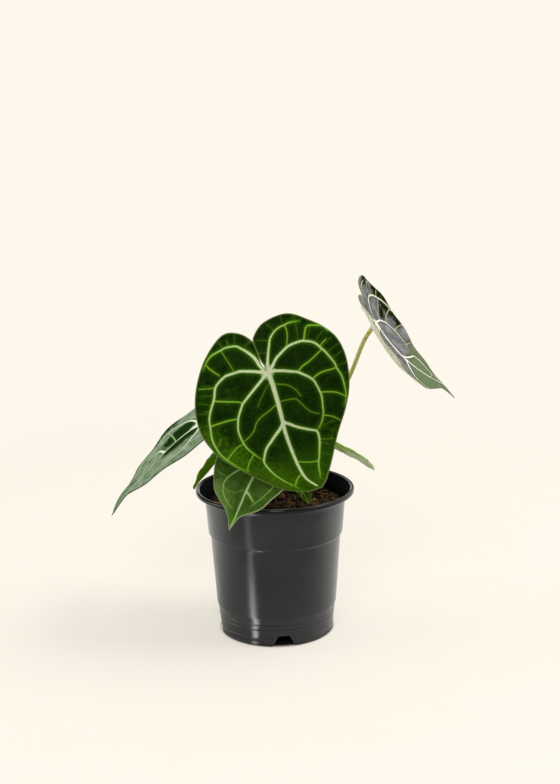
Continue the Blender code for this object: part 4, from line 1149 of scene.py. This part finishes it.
def pot_finish():
    """Thin black plastic: a satin gloss, faint moulding rings, light scuffs and dust low down; inside the
    bowl the gloss is taken off as painted shade.
    """
    n = finish("black_grower_plastic")
    place = n.place()
    flat = n.stretched(place, 1, 1, 9)
    cloud = n.noise(place, 46, 4.0)
    scuff = n.ramp(n.noise(flat, 260, 5.0, 0.7), 0.60, 0.82)
    height = n.part(place, 2)
    low = n.ramp(height, 0.0, 0.03, 1.0, 0.0)
    dust = n.times(n.ramp(n.noise(place, 150, 5.0, 0.65), 0.42, 0.75), n.plus(low, 0.12))
    colour = n.mix(n.ramp(cloud, 0.3, 0.7), (0.006, 0.006, 0.0065), (0.013, 0.013, 0.0145))
    colour = n.mix(n.times(scuff, 0.12), colour, (0.10, 0.10, 0.10))
    colour = n.mix(n.times(dust, 0.06), colour, (0.20, 0.17, 0.14))
    rough = n.plus(n.ramp(cloud, 0.3, 0.7, 0.20, 0.27), n.times(scuff, 0.10))
    rough = n.times(rough, n.ramp(height, *LIP_FROM, 1.0, 0.40))
    # Painted shade: inside the bowl the gloss is taken off and the surface grows rougher, so it stays dark
    inside = n.value("inside")
    rough = n.plus(rough, n.times(inside, 0.3))
    gloss = n.times(n.ramp(height, *LIP_FROM, 0.70, 0.30), n.ramp(inside, 0.0, 1.0, 1.0, 0.0))
    normal = n.bump(n.noise(flat, 70, 3.0), 0.05 * MM)
    normal = n.bump(n.noise(place, 900, 2.0), 0.012 * MM, normal)
    return n.done(Base_Color=colour, Roughness=rough, Normal=normal, Specular_IOR_Level=gloss)


def floor_finish():
    """Pale paper for the camera, which fades away and darkens under the pot as painted shade, and for the
    rays that light the part a floor with painted shade, darker before the pot than behind it.
    """
    n = finish("pale_paper")
    place = n.place()
    away = n.vector("LENGTH", place)["Value"]
    paper_and_pot_shade = n.mix(n.noise(place, 40, 3.0), (0.405, 0.380, 0.339), (0.42, 0.396, 0.356))
    # Painted shade under the pot: the paper darkens here and its glow is cut below
    paper_and_pot_shade = n.mix(n.ramp(away, *PAINTED_POT_SHADE[0]), (0.02, 0.02, 0.02), paper_and_pot_shade)
    n.done(Base_Color=paper_and_pot_shade, Roughness=1.0, Specular_IOR_Level=0.0, Emission_Color=(*PAPER, 1),
           Emission_Strength=n.ramp(away, *PAINTED_POT_SHADE[1], 0.0, PAPER_GLOW))
    # Painted shade: for the rays that light the part, the floor is darker before the pot than behind it
    around = n.mix(n.ramp(n.part(place, 1), -0.12, 0.05), (0.44, 0.43, 0.405), (0.97, 0.96, 0.93))
    painted_shade_floor = n.add("ShaderNodeBsdfDiffuse", {"Color": around}).outputs[0]
    clear = n.add("ShaderNodeBsdfTransparent", {}).outputs[0]
    faded = n.either(n.ramp(away, *PAPER_FADE), n.tree.nodes["Principled BSDF"].outputs[0], clear)
    n.fill(n.tree.nodes["Material Output"], {"Surface": n.either(n.seen(), painted_shade_floor, faded)})
    return n.owner


def make_world():
    """The camera sees the paper's light; other rays meet a room brighter behind than before the part."""
    n = Nodes(bpy.data.worlds.new("pale_studio"))
    way = n.add("ShaderNodeTexCoord", {}).outputs["Generated"]
    strength = n.times(n.ramp(n.part(way, 1), -0.75, 0.0, 0.28, 1.15),
                       n.ramp(n.part(way, 2), 0.25, 0.85, 1.0, 0.45))
    lit = n.add("ShaderNodeBackground", {"Color": (1.0, 0.985, 0.96, 1), "Strength": strength}).outputs[0]
    paper = n.tree.nodes["Background"]
    n.fill(paper, {"Color": (*PAPER, 1)})
    n.fill(n.tree.nodes["World Output"], {"Surface": n.either(n.seen(), lit, paper.outputs[0])})
    bpy.context.scene.world = n.owner


def make_floor():
    """A pale floor that fades into a world of the same light."""
    bpy.ops.mesh.primitive_circle_add(vertices=PAPER_SIDES, radius=PAPER_RADIUS, fill_type="NGON",
                                      location=(0, 0, PAPER_HEIGHT))
    floor = bpy.context.object
    floor.name = "studio_floor"
    floor.data.materials.append(floor_finish())


def make_gleam_card():
    """A narrow lit card on the floor before the pot, seen only as the upright gleam on its wall."""
    start, way = Vector(GLEAM_START), Vector(GLEAM_WAY).normalized()
    side = Vector((-way.y, way.x, 0))
    places = []
    for reach, wide in zip(GLEAM_REACH, GLEAM_WIDE):
        places += [start + way * reach - side * wide / 2, start + way * reach + side * wide / 2]
    mesh = bpy.data.meshes.new("gleam_card")
    mesh.from_pydata([tuple(v) for v in places], [], [(0, 2, 3, 1)])
    n = finish("gleam_light")
    place = n.place()
    local = n.vector("SUBTRACT", place, tuple(start))["Vector"]
    aside, ahead = (n.vector("DOT_PRODUCT", local, tuple(v))["Value"] for v in (side, way))
    half = n.ramp(ahead, *GLEAM_REACH, *(wide / 2 for wide in GLEAM_WIDE), kind="LINEAR")
    share = n.math("DIVIDE", n.math("ABSOLUTE", aside), half)
    fading = n.ramp(n.vector("LENGTH", place)["Value"], *GLEAM_FADE, GLEAM_NEAR, GLEAM_FAR)
    n.done(Base_Color=(0, 0, 0, 1), Specular_IOR_Level=0.0, Emission_Color=(1, 1, 1, 1),
           Emission_Strength=n.times(fading, n.ramp(share, 0.0, 1.0, 1.0, 0.0)))
    n.owner.cycles.emission_sampling = "NONE"
    mesh.materials.append(n.owner)
    card = placed_object("gleam_card", mesh)
    card.visible_camera = card.visible_diffuse = card.visible_shadow = False


def make_lights():
    for name, place, size, power in LIGHTS:
        data = bpy.data.lights.new(name, "AREA")
        data.shape, data.energy = "RECTANGLE", power
        data.size, data.size_y = size
        light = placed_object(name, data)
        light.location = place
        light.rotation_euler = (Vector(place) - Vector(LIGHTS_AIM)).to_track_quat("Z", "Y").to_euler()


def make_camera():
    back = Vector((0, -math.cos(PITCH), math.sin(PITCH)))
    right, up = Vector((1, 0, 0)), Vector((0, math.sin(PITCH), math.cos(PITCH)))
    tilted_up = up * math.cos(CAMERA_ROLL) + right * math.sin(CAMERA_ROLL)
    tilted_right = right * math.cos(CAMERA_ROLL) - up * math.sin(CAMERA_ROLL)
    data = bpy.data.cameras.new("photo_view")
    data.sensor_width, data.lens = SENSOR, SENSOR * FOCAL_PX / IMAGE_HEIGHT
    camera = placed_object("photo_view", data)
    turn = Matrix((tilted_right, tilted_up, back)).transposed().to_4x4()
    camera.matrix_world = Matrix.Translation(LOOK_AT + back * DISTANCE) @ turn
    bpy.context.scene.camera = camera


def main():
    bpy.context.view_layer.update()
    bpy.context.scene.view_settings.view_transform = "Standard"
    make_camera()
    make_pot()
    make_soil()
    make_bark()
    make_fibres()
    make_crown()
    make_sheaths()
    for leaf in LEAVES:
        make_petiole(leaf)
        make_blade(leaf)
    make_floor()
    make_world()
    make_gleam_card()
    make_lights()
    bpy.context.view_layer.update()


main()
